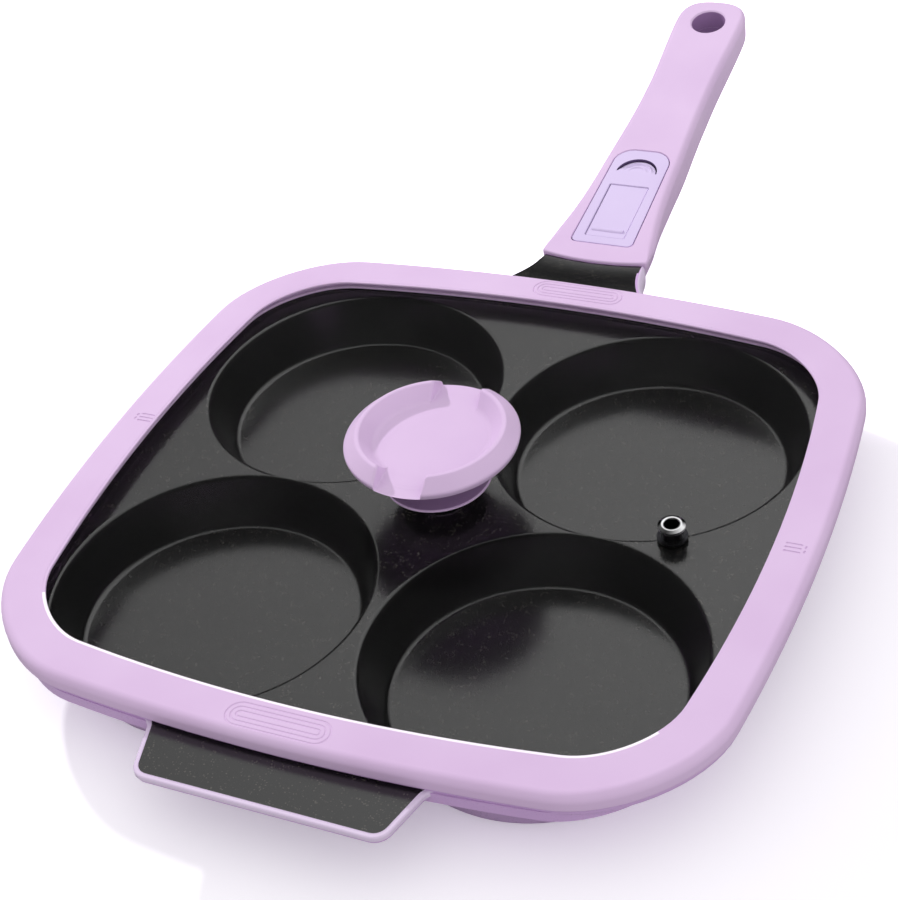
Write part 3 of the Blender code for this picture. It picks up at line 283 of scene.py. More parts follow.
def maths(tree, operation, first, second):
    return addNode(tree, "Math", {0: first, 1: second}, operation=operation).outputs["Value"]


def ranged(tree, value, low, high, start=0.3, end=0.7):
    sockets = {"Value": value, "From Min": start, "From Max": end, "To Min": low, "To Max": high}
    return addNode(tree, "MapRange", sockets).outputs["Result"]


def blended(tree, share, first, second):
    mix = addNode(tree, "Mix", {}, data_type="RGBA")
    for socket, value in ((mix.inputs[0], share), (mix.inputs[6], first), (mix.inputs[7], second)):
        if isinstance(value, bpy.types.NodeSocket):
            tree.links.new(value, socket)
        else:
            socket.default_value = value
    return mix.outputs[2]


def bumpFrom(tree, height, depth, strength=1.0):  # depth in millimetres
    sockets = {"Height": height, "Distance": depth * millimetre, "Strength": strength}
    return addNode(tree, "Bump", sockets).outputs["Normal"]


plastic = {  # each colour is plain and, in the clouds, a little deeper
    "lilac": (shade(217, 190, 224), shade(211, 183, 219)),
    "silicone": (shade(216, 189, 223), shade(210, 181, 217)),
    "lavender": (shade(212, 196, 231), shade(206, 189, 226)),
    "enamel": (shade(206, 172, 218), shade(198, 163, 211)),
    # painted light: a paler enamel for the lugs' edges, as if lit
    "border": (shade(220, 203, 228), shade(214, 196, 223)),
    # painted highlight: a near-white lilac for the rim's front inner lip
    "lip": (shade(252, 244, 253), shade(248, 238, 250)),
    # painted shade: a deeper lilac for the hang hole's wall and under the knob's edge
    "hollowShade": (shade(150, 117, 162), shade(143, 110, 155)),
    # painted shade: a dark lavender for the scoop's groove
    "line": (shade(92, 74, 112), shade(84, 67, 104)),
    "grain": 1500,
    "cloud": 25,
    "shine": 0.3,
    "knobShadeHeights": (0.0352, 0.0362, 0.0498, 0.0511),
}


def moulded(name, colour, roughness, grainDepth, spread=0.05, hollowShade=None):
    material, tree, shader = newFinish(name)
    cloud = ranged(tree, noiseAt(tree, plastic["cloud"], 3), 0, 1)
    shown = blended(tree, cloud, *plastic[colour])
    if hollowShade:  # heights in metres between which the colour is darker, a painted shade under an edge
        place = addNode(tree, "TexCoord", {})
        height = addNode(tree, "SeparateXYZ", {"Vector": place.outputs["Object"]}).outputs["Z"]
        above = ranged(tree, height, 0, 1, hollowShade[0], hollowShade[1])
        under = ranged(tree, height, 1, 0, hollowShade[2], hollowShade[3])
        shown = blended(tree, maths(tree, "MULTIPLY", above, under), shown, plastic["hollowShade"][0])
    tree.links.new(shown, shader.inputs["Base Color"])
    grain = noiseAt(tree, plastic["grain"], 3)
    matt = ranged(tree, grain, roughness - spread, roughness + spread)
    tree.links.new(matt, shader.inputs["Roughness"])
    tree.links.new(bumpFrom(tree, grain, grainDepth, 0.5), shader.inputs["Normal"])
    shader.inputs["Specular IOR Level"].default_value = plastic["shine"]
    return material


lilacPlastic = moulded("lilac_plastic", "lilac", 0.42, 0.012)
lilacSilicone = moulded("lilac_silicone", "silicone", 0.55, 0.02)
lavenderPlastic = moulded("lavender_plastic", "lavender", 0.42, 0.012)
lilacEnamel = moulded("lilac_enamel", "enamel", 0.30, 0.008, 0.04)
# painted light: a paler copy of the enamel
paintedLitEnamel = moulded("painted_lit_enamel", "border", 0.30, 0.008, 0.04)
# painted highlight along the rim's front inner lip
lipHighlightSilicone = moulded("lip_highlight_silicone", "lip", 0.45, 0.01)
# painted shade for the inside of the hang hole
hollowShadePlastic = moulded("hollow_shade_plastic", "hollowShade", 0.45, 0.012)
# painted shade in the latch's scoop groove
grooveShadePlastic = moulded("groove_shade_plastic", "line", 0.45, 0.012)
# painted shade darkens the bowl under the knob's edge
knobPlastic = moulded("knob_plastic", "lilac", 0.38, 0.012, hollowShade=plastic["knobShadeHeights"])

coating = {
    "base": shade(9, 9, 9),
    "pale": shade(13, 13, 13),
    "fleck": shade(60, 57, 53),
    "fleckScale": 1000,
    "fleckSize": 0.36,
    "peelScale": 1300,
    # how far the faces lean before flecks fade out, a painted shade on upright walls
    "wallShadeStart": 0.8,
    "wallShadeEnd": 0.95,
    "peelDepth": 0.012,
    "roughLow": 0.16,
    "roughHigh": 0.23,
    "shine": 1.0,
}


def speckledCoating():
    material, tree, shader = newFinish("nonstick_coating")
    place = addNode(tree, "TexCoord", {})
    cells = {"Vector": place.outputs["Object"], "Scale": coating["fleckScale"], "Randomness": 1.0}
    cell = addNode(tree, "TexVoronoi", cells, feature="F1")
    size = ranged(tree, noiseAt(tree, coating["fleckScale"] / 3, 1), 0.0, coating["fleckSize"])
    inside = maths(tree, "LESS_THAN", cell.outputs["Distance"], size)
    upward = addNode(tree, "SeparateXYZ", {"Vector": place.outputs["Normal"]}).outputs["Z"]
    level = ranged(tree, upward, 0, 1, coating["wallShadeStart"], coating["wallShadeEnd"])
    share = maths(tree, "MULTIPLY", inside, level)  # painted shade: flecks only on level faces, so that upright walls stay darker
    ground = blended(tree, ranged(tree, noiseAt(tree, 60, 4), 0, 1), coating["base"], coating["pale"])
    speckled = blended(tree, share, ground, coating["fleck"])
    tree.links.new(speckled, shader.inputs["Base Color"])
    peel = noiseAt(tree, coating["peelScale"], 4)
    matt = ranged(tree, peel, coating["roughLow"], coating["roughHigh"])
    tree.links.new(matt, shader.inputs["Roughness"])
    tree.links.new(bumpFrom(tree, peel, coating["peelDepth"], 0.6), shader.inputs["Normal"])
    shader.inputs["Specular IOR Level"].default_value = coating["shine"]
    return material


metal = {"lines": 900, "lineDepth": 0.006, "polished": 0.06, "dull": 0.08}


def brushedMetal(name, colour, deep, roughness, stretch):
    material, tree, shader = newFinish(name)
    lines = noiseAt(tree, metal["lines"], 4, stretch)
    matt = ranged(tree, lines, roughness - metal["polished"], roughness + metal["dull"])
    tree.links.new(blended(tree, ranged(tree, lines, 0, 1), colour, deep), shader.inputs["Base Color"])
    tree.links.new(matt, shader.inputs["Roughness"])
    tree.links.new(bumpFrom(tree, lines, metal["lineDepth"], 0.5), shader.inputs["Normal"])
    shader.inputs["Metallic"].default_value = 1.0
    return material


sheet = {
    "tint": (0.99, 0.99, 0.99, 1.0),
    "through": (0.975, 0.975, 0.975, 1.0),
    "bend": 1.06,  # low, so that it hardly bends or mirrors what is behind it
    "smear": 0.015,
    "smearScale": 14,
}


def clearGlass():
    material, tree, shader = newFinish("clear_glass")
    shader.inputs["Base Color"].default_value = sheet["tint"]
    shader.inputs["Transmission Weight"].default_value = 1.0
    shader.inputs["IOR"].default_value = sheet["bend"]
    smear = ranged(tree, noiseAt(tree, sheet["smearScale"], 3), 0.0, sheet["smear"])
    tree.links.new(smear, shader.inputs["Roughness"])
    path = addNode(tree, "LightPath", {}).outputs
    quiet = maths(tree, "MAXIMUM", path["Is Shadow Ray"], path["Is Diffuse Ray"])
    # A mirrored ray that hasn't come through the glass goes straight on, like those for light and shadow
    bounced = maths(tree, "SUBTRACT", path["Is Glossy Ray"], path["Is Transmission Ray"])
    straight = maths(tree, "MAXIMUM", quiet, bounced)
    through = addNode(tree, "BsdfTransparent", {"Color": sheet["through"]})
    mix = addNode(tree, "MixShader", {0: straight, 1: shader.outputs[0], 2: through.outputs[0]})
    tree.links.new(mix.outputs[0], tree.nodes["Material Output"].inputs["Surface"])
    return material


nonstick = speckledCoating()
steel = brushedMetal("brushed_steel", (0.72, 0.72, 0.73, 1), (0.60, 0.60, 0.61, 1), 0.24, (1, 12, 1))
chrome = brushedMetal("polished_steel", (0.86, 0.86, 0.87, 1), (0.78, 0.78, 0.79, 1), 0.12, (1, 1, 1))
# dark steel for the vent washer, and as painted shade in the eyelet's bore and waist
darkSteelAndShade = brushedMetal("dark_steel_and_shade", (0.045, 0.045, 0.05, 1), (0.03, 0.03, 0.035, 1), 0.36, (1, 1, 1))
brass = brushedMetal("brass", (0.76, 0.58, 0.30, 1), (0.62, 0.46, 0.22, 1), 0.30, (1, 1, 8))
glass = clearGlass()
# the third finish is a paler enamel, painted light on the lugs' edges
panFinishes = [nonstick, lilacEnamel, paintedLitEnamel]
coated, enamelled, paintedLit = 0, 1, 2
print("finishes made")


# Camera, floor and light

view = {
    "position": (265.6, -552.15, 476.5),
    "target": (-8.27, -69.4, 25.0),
    "roll": -9.676,
    "lens": 76.5,
}


def makeCamera():
    data = bpy.data.cameras.new("camera")
    data.lens = view["lens"]
    data.sensor_fit = "HORIZONTAL"
    camera = bpy.data.objects.new("camera", data)
    bpy.context.scene.collection.objects.link(camera)
    position = Vector(view["position"]) * millimetre
    ahead = Vector(view["target"]) * millimetre - position
    level = ahead.to_track_quat("-Z", "Y").to_matrix().to_4x4()
    roll = Matrix.Rotation(math.radians(view["roll"]), 4, "Z")
    camera.matrix_world = Matrix.Translation(position) @ level @ roll
    bpy.context.scene.camera = camera


studio = {
    "floorSize": 12.0,
    "floorShade": 0.42,
    "floorShown": 0.9,
    "floorGlow": 0.25,
    "backGlow": 1.0,
    "glowTint": (1.0, 0.9, 1.1, 1.0),
    "fadeStart": 0.0,
    "fadeEnd": 0.07,
    "skyLow": 0.52,
    "skyHigh": 0.79,
    "skyEnd": 0.5,
    "fillAim": (0.88, -0.40, 0.25),
    "fillStart": 0.2,
    "fillLevel": 0.5,
    "mirrorAim": (0.05, 0.72, 0.69),
    "mirrorLow": 0.03,
    "mirrorHigh": 1.12,
    "mirrorStart": 0.5,
    "mirrorEnd": 0.97,
    "liftStart": 0.30,
    "liftEnd": 0.63,
    "keyPlace": (-1.45, 0.85, 1.0),
    "keySize": 0.1,
    "keyPower": 23.0,
}


def seenRay(tree):  # a ray straight from the camera, or one that came through the glass
    path = addNode(tree, "LightPath", {}).outputs
    return maths(tree, "MAXIMUM", path["Is Camera Ray"], path["Is Transmission Ray"])


def makeFloor():
    half = studio["floorSize"] / 2
    corners = [(-half, -half, 0), (half, -half, 0), (half, half, 0), (-half, half, 0)]
    floor = newPiece("floor", corners, [(0, 1, 2, 3)])
    material, tree, shader = newFinish("floor_white")
    shader.inputs["Roughness"].default_value = 0.8
    shader.inputs["Specular IOR Level"].default_value = 0.0
    shown = seenRay(tree)
    level = {"Value": shown, "To Min": studio["floorShade"], "To Max": studio["floorShown"]}
    tree.links.new(addNode(tree, "MapRange", level).outputs["Result"], shader.inputs["Base Color"])
    place = addNode(tree, "TexCoord", {})
    back = addNode(tree, "SeparateXYZ", {"Vector": place.outputs["Object"]}).outputs["Y"]
    fade = ranged(tree, back, studio["floorGlow"], studio["backGlow"], studio["fadeStart"], studio["fadeEnd"])
    glow = maths(tree, "MULTIPLY", shown, fade)
    light = addNode(tree, "Emission", {"Color": studio["glowTint"], "Strength": glow})
    both = addNode(tree, "AddShader", {0: shader.outputs[0], 1: light.outputs[0]})
    tree.links.new(both.outputs[0], tree.nodes["Material Output"].inputs["Surface"])
    floor.data.materials.append(material)


def makeSky():
    world = bpy.data.worlds.new("studio")
    bpy.context.scene.world = world
    world.use_nodes = True
    tree = world.node_tree
    background = tree.nodes["Background"]
    ray = addNode(tree, "TexCoord", {}).outputs["Generated"]
    height = addNode(tree, "SeparateXYZ", {"Vector": ray}).outputs["Z"]

    def towards(aim):  # 1 where the ray points that way, less beside it
        return addNode(tree, "VectorMath", {0: ray, 1: studio[aim]}, operation="DOT_PRODUCT").outputs["Value"]

    upper = ranged(tree, height, studio["skyLow"], studio["skyHigh"], 0.0, studio["skyEnd"])
    fill = ranged(tree, towards("fillAim"), 0, studio["fillLevel"], studio["fillStart"], 1.0)
    window = ranged(tree, towards("mirrorAim"), studio["mirrorLow"], studio["mirrorHigh"],
                    studio["mirrorStart"], studio["mirrorEnd"])
    raised = ranged(tree, height, 0, 1, studio["liftStart"], studio["liftEnd"])
    soft = maths(tree, "ADD", upper, fill)
    mirrored = maths(tree, "MULTIPLY", window, raised)
    glossy = addNode(tree, "LightPath", {}).outputs["Is Glossy Ray"]
    level = addNode(tree, "MapRange", {"Value": glossy, "To Min": soft, "To Max": mirrored}).outputs["Result"]
    mix = addNode(tree, "MapRange", {"Value": seenRay(tree), "To Min": level, "To Max": 1.0})
    tree.links.new(mix.outputs["Result"], background.inputs["Strength"])
    background.inputs["Color"].default_value = (1, 1, 1, 1)


def makeLamp(name, place, size, power):
    data = bpy.data.lights.new(name, "AREA")
    data.shape = "DISK"
    data.size = size
    data.energy = power
    lamp = bpy.data.objects.new(name, data)
    bpy.context.scene.collection.objects.link(lamp)
    lamp.location = place
    lamp.rotation_euler = (-Vector(place)).to_track_quat("-Z", "Y").to_euler()
    lamp.visible_glossy = False  # its light is seen, not its mirror image


makeCamera()
makeFloor()
makeSky()
makeLamp("key", studio["keyPlace"], studio["keySize"], studio["keyPower"])
bpy.context.scene.view_settings.view_transform = "Standard"
print("camera, floor and light set")


# The pan: four cups cast into one tray, with a lug at each end

pan = {
    "mouthRadius": 58.3,
    "footRadius": 52.3,
    "floorZ": 6.4,
    "deckZ": 25.0,
    "flangeLow": 23.0,
    "flangeZ": 25.5,
    "pitchX": 122.0,
    "pitchY": 117.8,
    "floorRound": 2.8,
    "mouthRound": 2.4,
    "mouthLand": 3.0,
    "cupWall": 1.9,
    "baseRound": 4.0,
    "deckThickness": 5.0,
    "trayHalfX": 115.5,
    "trayHalfY": 112.0,
    "trayCorner": 29.5,
    "trayBow": 9.5,
    "trayShift": 0.5,
    "trayDraft": 2.0,
    "trayWall": 3.0,
    "trayRound": 1.6,
    "flangeSetback": 1.0,
    "flangeRound": 0.9,
    "discRadius": 39.7,
    "discThickness": 0.5,
    "cupSteps": 160,
}

rim = {
    "halfX": 130.0,
    "halfY": 120.1,
    "corner": 42.0,
    "bow": 10.0,
    "shiftY": 6.0,
    "width": 16.0,
    "lowZ": 25.8,
    "highZ": 32.4,
    "outerRound": 3.2,
    "footRound": 0.8,
    "innerRound": 0.6,
    "lipWidth": 1.1,
    "lipStep": 0.06,
    "highlightFrom": -86.0,
    "lipTop": 0.9,
    "lipBottom": 1.1,
    "lowerInset": 12.6,
    "glassInset": 11.0,
    "gap": 0.1,
}

# The pan is drawn about the middle between its cups, as the frame's glass is about the lid's middle
panY = (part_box("lid_glass")[0].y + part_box("lid_glass")[1].y) / 2 - rim["shiftY"] * millimetre
panPlace = Matrix.Translation((0, panY, 0)) @ Matrix.Scale(millimetre, 4)


def bowedSquare(halfX, halfY, corner, bow, shiftY, sideSteps=20, cornerSteps=16):
    straightX = halfX - corner
    straightY = halfY - corner
    outline = []
    for side in range(4):
        centreX = straightX * (1 if side in (0, 3) else -1)
        centreY = straightY * (1 if side in (0, 1) else -1)
        for k in range(cornerSteps + 1):
            angle = quarterTurn * (side + k / cornerSteps)
            outline.append((centreX + corner * math.cos(angle), centreY + corner * math.sin(angle)))
        lastX, lastY = outline[-1]
        runX = (-2 if side == 0 else 2 if side == 2 else 0) * straightX
        runY = (-2 if side == 1 else 2 if side == 3 else 0) * straightY
        for k in range(1, sideSteps):
            outline.append((lastX + runX * k / sideSteps, lastY + runY * k / sideSteps))
    swollen = []
    for x, y in outline:
        outX = math.copysign(bow, x) * (1 - (y / halfY) ** 2) * (x / halfX) ** 2
        outY = math.copysign(bow, y) * (1 - (x / halfX) ** 2) * (y / halfY) ** 2
        swollen.append((x + outX, y + outY + shiftY))
    return swollen


def lidOutline(inset):
    return bowedSquare(rim["halfX"] - inset, rim["halfY"] - inset, rim["corner"] - inset,
                       rim["bow"], rim["shiftY"])


def trayOutline(outset):
    return bowedSquare(pan["trayHalfX"] + outset, pan["trayHalfY"] + outset, pan["trayCorner"] + outset,
                       pan["trayBow"], pan["trayShift"])


def sweptEdge(name, outlineAt, profile, loop=False):
    return skin(name, [[(x, y, z) for x, y in outlineAt(inset)] for inset, z in profile], loop)


def cupCentres():
    return [(x * pan["pitchX"] / 2, y * pan["pitchY"] / 2) for y in (-1, 1) for x in (-1, 1)]


lidFront = rim["shiftY"] - rim["halfY"] - rim["bow"]
lidBack = rim["shiftY"] + rim["halfY"] + rim["bow"]

lug = {
    "reach": 19.9,
    "rootHalf": 51.0,
    "endHalf": 45.0,
    "flare": 4.5,
    "corner": 6.5,
    "drop": 0.9,
    "thickness": 3.2,
    "border": 1.5,
    "groove": 0.22,
    "lowerStep": 0.35,
    "stepHeight": 1.1,
}


def frontLug():
    def edgeY(x):  # just inside the flange's front edge
        share = x / (rim["halfX"] - pan["flangeSetback"])
        return lidFront + pan["flangeSetback"] + rim["bow"] * share * share + 0.1

    outer = lug["rootHalf"] + 11
    right = [
        (outer, edgeY(outer) + 8, 0),
        (outer, edgeY(outer), 0),
        (lug["rootHalf"], edgeY(lug["rootHalf"]), lug["flare"]),
        (lug["endHalf"], lidFront - lug["reach"], lug["corner"]),
    ]
    left = [(-x, y, radius) for x, y, radius in reversed(right)]
    outline = softLine(right + left, 8, closed=True)
    high = pan["flangeZ"] - lug["drop"]
    low = high - lug["thickness"]
    border, step = lug["border"], lug["lowerStep"]
    profile = softLine([
        (2.5, low, 0),
        (step, low, 0.5),
        (step, low + lug["stepHeight"], 0.1),
        (0, low + lug["stepHeight"] + 0.15, 0.15),
        (0, high - 0.1, border * 0.9),
        (border, high - 0.1, 0.05),
        (border + 0.1, high - lug["groove"], 0.05),
        (border + 0.3, high, 0),
    ], 6)
    made = slab("front_lug", outline, profile)
    borderLow = low + lug["stepHeight"]

    # coating on top, painted light as paler enamel on the upper edge, plain enamel below
    def finishOf(face):
        if face.center.z > high - 1e-3:
            return coated
        return paintedLit if face.center.z > borderLow else enamelled

    return marked(made, finishOf)


neck = {
    "gripHalf": 14.7,
    "flare": 8.9,
    "sideStep": 0.8,
    "frontHeight": 14.8,
    "topStep": 1.1,
    "bottomStep": 0.9,
    "spread": 11.2,
    "spreadLength": 28.0,
    "spreadLimit": 1.2,
    "sweep": 2.7,
    "gap": 0.4,
    "border": 1.3,
    "bulge": 1.2,
    "rollHeight": 3.6,
    "tuck": 1.5,
}

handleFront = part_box("handle_upper_shell")[0].y
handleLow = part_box("handle_lower_shell")[0].z
handleY = (handleFront - panY) / millimetre
handleZ = handleLow / millimetre
gripFrontHalf = neck["gripHalf"] + neck["flare"]


def frontArc(x):
    return neck["sweep"] * (x / gripFrontHalf) ** 2


def rearLug():
    rootY = pan["trayHalfY"] + pan["trayBow"] + pan["trayShift"] + pan["trayWall"] / 2
    edgeY = lidBack - pan["flangeSetback"]
    endY = handleY - neck["gap"]
    highEnd = handleZ + neck["frontHeight"] - neck["topStep"]
    lowEnd = handleZ + neck["bottomStep"]
    highStart = pan["flangeZ"] - 0.3
    lowStart = pan["deckZ"] - pan["deckThickness"]
    rings = []
    count = 30
    for k in range(count + 1):
        y = rootY + (endY - rootY) * k / count
        run = max(0.0, handleY - y) / neck["spreadLength"]
        half = gripFrontHalf - neck["sideStep"] + neck["spread"] * min(run, neck["spreadLimit"]) ** 2
        high = highStart - (highStart - highEnd) * smoothStep(y, edgeY, handleY)
        low = lowStart - (lowStart - lowEnd) * smoothStep(y, rootY, handleY)
        outer = half + neck["bulge"] * smoothStep(handleY - y, 0.0, 5.0)
        rollZ = min(neck["rollHeight"], (high - low) * 0.45)
        right = [(x, low) for x in (0.0, half * 0.4, half - neck["tuck"] - 3)]
        for j in range(1, 9):
            angle = quarterTurn * j / 8
            right.append((outer - neck["tuck"] - 3 + (3 + neck["tuck"]) * math.sin(angle),
                          low + (high - rollZ - low) * (1 - math.cos(angle))))
        inner = half - neck["border"]
        for j in range(1, 11):
            angle = quarterTurn * j / 10
            right.append((inner + (outer - inner) * math.cos(angle), high - rollZ + rollZ * math.sin(angle)))
        right += [(inner - 0.6, high), (inner * 0.5, high), (0.0, high)]
        left = [(-x, z) for x, z in reversed(right) if x > 1e-6]
        bend = smoothStep(y, edgeY, endY)
        rings.append([(x, y + frontArc(x) * bend, z) for x, z in right + left])

    def finishOf(face):  # black on top, and over the left edge as far as it looks up; painted light, a paler enamel, on faces that look right
        run = max(0.0, handleY - face.center.y) / neck["spreadLength"]
        half = gripFrontHalf - neck["sideStep"] + neck["spread"] * min(run, neck["spreadLimit"]) ** 2
        if face.normal.z > 0.4 and face.center.x < half - neck["border"]:
            return coated
        return paintedLit if face.normal.x > 0.2 else enamelled

    return marked(skin("rear_lug", rings), finishOf)


tongue = {"half": 14.0, "length": 26.1, "root": 8.0, "lowZ": 4.4, "thickness": 4.5, "corner": 3.0, "gap": 0.3}


def handleTongue():
    end = handleY + tongue["length"]
    outline = oblong(tongue["half"], handleY - tongue["root"], end, 0, tongue["corner"], 8)
    low = handleZ + tongue["lowZ"]
    high = low + tongue["thickness"]
    made = slab("tongue", outline, [(0.5, low), (0, low + 0.5), (0, high - 0.5), (0.5, high)])
    return marked(made, coated)


# How far a cup's wall leans out for each millimetre of its height
cupDraft = (pan["mouthRadius"] - pan["footRadius"]) / (pan["deckZ"] - pan["floorZ"] - pan["floorRound"])


def cupHollow(centre):
    foot = pan["footRadius"] - cupDraft * pan["floorRound"]
    profile = softLine([
        (0, pan["floorZ"], 0),
        (foot, pan["floorZ"], pan["floorRound"]),
        (pan["mouthRadius"], pan["deckZ"], pan["mouthRound"]),
        (pan["mouthRadius"] + pan["mouthLand"], pan["deckZ"], 0),
    ], 8)[:-1]
    profile.append((profile[-1][0], pan["deckZ"] + 0.05))
    return marked(turned("cup_hollow", profile, pan["cupSteps"], centre), coated)


def cupBowl(centre):
    topZ = pan["deckZ"] - pan["deckThickness"] / 2
    mouthRadius = pan["mouthRadius"] + pan["cupWall"]
    topRadius = mouthRadius - cupDraft * (pan["deckZ"] - topZ)
    baseRadius = mouthRadius - cupDraft * pan["deckZ"]
    profile = softLine([(0, 0, 0), (baseRadius, 0, pan["baseRound"]), (topRadius, topZ, 0)], 8)
    recess = pan["discRadius"] + 0.3
    profile = [(recess, pan["discThickness"] + 0.3), (recess, 0)] + profile[1:]
    return marked(turned("cup_bowl", profile, 120, centre), enamelled)


def makePan():
    soft = pan["flangeRound"]
    edge = softLine([
        (pan["flangeSetback"] + 3, pan["flangeLow"], 0),
        (pan["flangeSetback"], pan["flangeLow"], soft),
        (pan["flangeSetback"], pan["flangeZ"], soft),
        (pan["flangeSetback"] + 3, pan["flangeZ"], 0),
    ], 5)
    body = sweptEdge("pan", lidOutline, edge)
    marked(body, lambda face: coated if face.normal.z > 0.9 else enamelled)
    low = pan["deckZ"] - pan["deckThickness"]
    tray = sweptEdge("tray", trayOutline, [(pan["trayWall"], low), (pan["trayWall"], pan["flangeLow"] + 1.2)])
    join(body, marked(tray, enamelled), frontLug(), rearLug(), handleTongue())
    join(body, *[cupBowl(centre) for centre in cupCentres()])
    inside = softLine([
        (-pan["trayRound"] * 3, pan["deckZ"], 0),
        (0, pan["deckZ"], pan["trayRound"]),
        (pan["trayDraft"], pan["flangeZ"], 0.4),
        (pan["trayDraft"] + 1.5, pan["flangeZ"] + 0.2, 0),
    ], 6)
    cut(body, marked(sweptEdge("tray_inside", trayOutline, inside), coated))
    cut(body, *[cupHollow(centre) for centre in cupCentres()])
    paint(body, panFinishes)
    return setInPlace(body, panPlace, "pan", ["pan_body"], 50)


makePan()


# The lid: glass in a soft rim, with grooved grips and a steam mark at each side

grip = {
    "length": 38.5,
    "width": 10.5,
    "grooveWidth": 0.9,
    "grooveDepth": 0.25,
    "pitch": 1.8,
    "count": 3,
    "frontX": -3.5,
    "backX": 8.0,
}


def stadium(centre, half, radius, steps=14):
    points = []
    for side in (1, -1):
        for k in range(steps + 1):
            angle = -quarterTurn + 2 * quarterTurn * k / steps
            points.append((centre[0] + side * (half + radius * math.cos(angle)),
                           centre[1] + side * radius * math.sin(angle)))
    return points


def gripGroove(centre, number):
    half = (grip["length"] - grip["width"]) / 2
    middle = grip["width"] / 2 - grip["grooveWidth"] / 2 - number * grip["pitch"]
    path = stadium(centre, half, middle)
    across = grip["grooveWidth"] / 2
    deep = rim["highZ"] - grip["grooveDepth"]
    section = softLine([
        (across * 1.5, rim["highZ"] + 0.4, 0),
        (across * 0.9, rim["highZ"] - 0.02, 0.15),
        (across * 0.35, deep, 0.2),
        (-across * 0.35, deep, 0.2),
        (-across * 0.9, rim["highZ"] - 0.02, 0.15),
        (-across * 1.5, rim["highZ"] + 0.4, 0),
    ], 3)
    rings = [[(x, y, z) for x, y in drawnIn(path, inset)] for inset, z in section]
    return skin("groove", rings, loop=True)


steam = {
    "leftX": -129.0,
    "leftY": 11.6,
    "rightX": 131.4,
    "rightY": 5.6,
    "stroke": 5.2,
    "width": 0.8,
    "depth": 0.3,
    "strokeShift": 0.6,
    "strokePitch": 1.9,
    "dotShift": 3.6,
    "dotPitch": 1.1,
    "dot": 0.6,
}


def steamStroke(x, y, length, angle):
    line = stadium((0, 0), length / 2, steam["width"] / 2, 5)
    high, depth = rim["highZ"], steam["depth"]
    made = slab("stroke", line, [(0.25, high - depth), (0, high - depth / 2), (-0.05, high + 0.5)])
    turn = Matrix.Rotation(math.radians(angle), 4, "Z")
    return moved(made, turn, Matrix.Translation((x, y, 0)))


def steamMark(x, y, side):
    strokes = []
    for k in (-1, 0, 1):
        across = x + side * steam["strokeShift"]
        strokes.append(steamStroke(across, y + steam["strokePitch"] * k, steam["stroke"], 0))
    for k in (-1, 1):
        across = x - side * steam["dotShift"]
        strokes.append(steamStroke(across, y + steam["dotPitch"] * k, steam["dot"], 90))
    return strokes


def makeRim():
    slotLow = rim["lowZ"] + rim["lipBottom"]
    slotHigh = rim["highZ"] - rim["lipTop"]
    soft = rim["innerRound"]
    section = softLine([
        (0, rim["lowZ"], rim["footRound"]),
        (0, rim["highZ"], rim["outerRound"]),
        (rim["width"] - rim["lipWidth"] - rim["lipStep"], rim["highZ"], 0),
        (rim["width"] - rim["lipWidth"], rim["highZ"] - rim["lipStep"], 0),
        (rim["width"], rim["highZ"] - rim["lipStep"], soft),
        (rim["width"], slotHigh, 0.2),
        (rim["glassInset"] - rim["gap"], slotHigh, 0),
        (rim["glassInset"] - rim["gap"], slotLow, 0),
        (rim["lowerInset"], slotLow, 0.3),
        (rim["lowerInset"], rim["lowZ"], 0.3),
    ], 7, closed=True)
    made = sweptEdge("lid_soft_rim", lidOutline, section, loop=True)

    def finishOf(face):  # a painted highlight, paler, along the front's inner lip, which looks in and up
        x, y, z = face.center
        inward = face.normal.x * x + face.normal.y * y < 0.02 * math.hypot(x, y)
        onLip = rim["highZ"] - 0.9 < z < rim["highZ"] - rim["lipStep"] / 2 and face.normal.z > 0.1
        return 1 if y < rim["highlightFrom"] and inward and onLip else 0

    marked(made, finishOf)
    front = lidFront + rim["width"] / 2
    back = lidBack - rim["width"] / 2
    cutters = []
    for centre in ((grip["frontX"], front), (grip["backX"], back)):
        cutters += [gripGroove(centre, k) for k in range(grip["count"])]
    cutters += steamMark(steam["leftX"], steam["leftY"], 1)
    cutters += steamMark(steam["rightX"], steam["rightY"], -1)
    cut(made, together("grooves", cutters))
    # the second finish is the painted highlight on the front inner lip
    paint(made, [lilacSilicone, lipHighlightSilicone])
    return setInPlace(made, panPlace, "lid", ["lid_rim"], 40)


makeRim()

lidGlass = {"lowZ": 27.2, "thickness": 4.0, "edge": 0.3, "ventX": 88.0, "ventHole": 3.9, "screwHole": 2.7}


def makeGlass():
    low = lidGlass["lowZ"]
    high = low + lidGlass["thickness"]
    edge = lidGlass["edge"]
    inset = rim["glassInset"] + 0.2
    profile = [(inset + edge, low), (inset, low + edge), (inset, high - edge), (inset + edge, high)]
    made = sweptEdge("lid_glass_sheet", lidOutline, profile)
    for x, radius in ((0, lidGlass["screwHole"]), (lidGlass["ventX"], lidGlass["ventHole"])):
        cut(made, turned("hole", [(radius, low - 1), (radius, high + 1)], 48, (x, rim["shiftY"])))
    paint(made, [glass])
    return setInPlace(made, panPlace, "lid", ["lid_glass"], 30)


makeGlass()

vent = {
    "bore": 2.6,
    "tube": 0.9,
    "flange": 5.0,
    "crown": 1.7,
    "crownThickness": 1.0,
    "waist": 4.2,
    "seatRing": 4.9,
    "seatThickness": 0.32,
    "rollZ": 25.4,
    "rollRadius": 4.4,
}


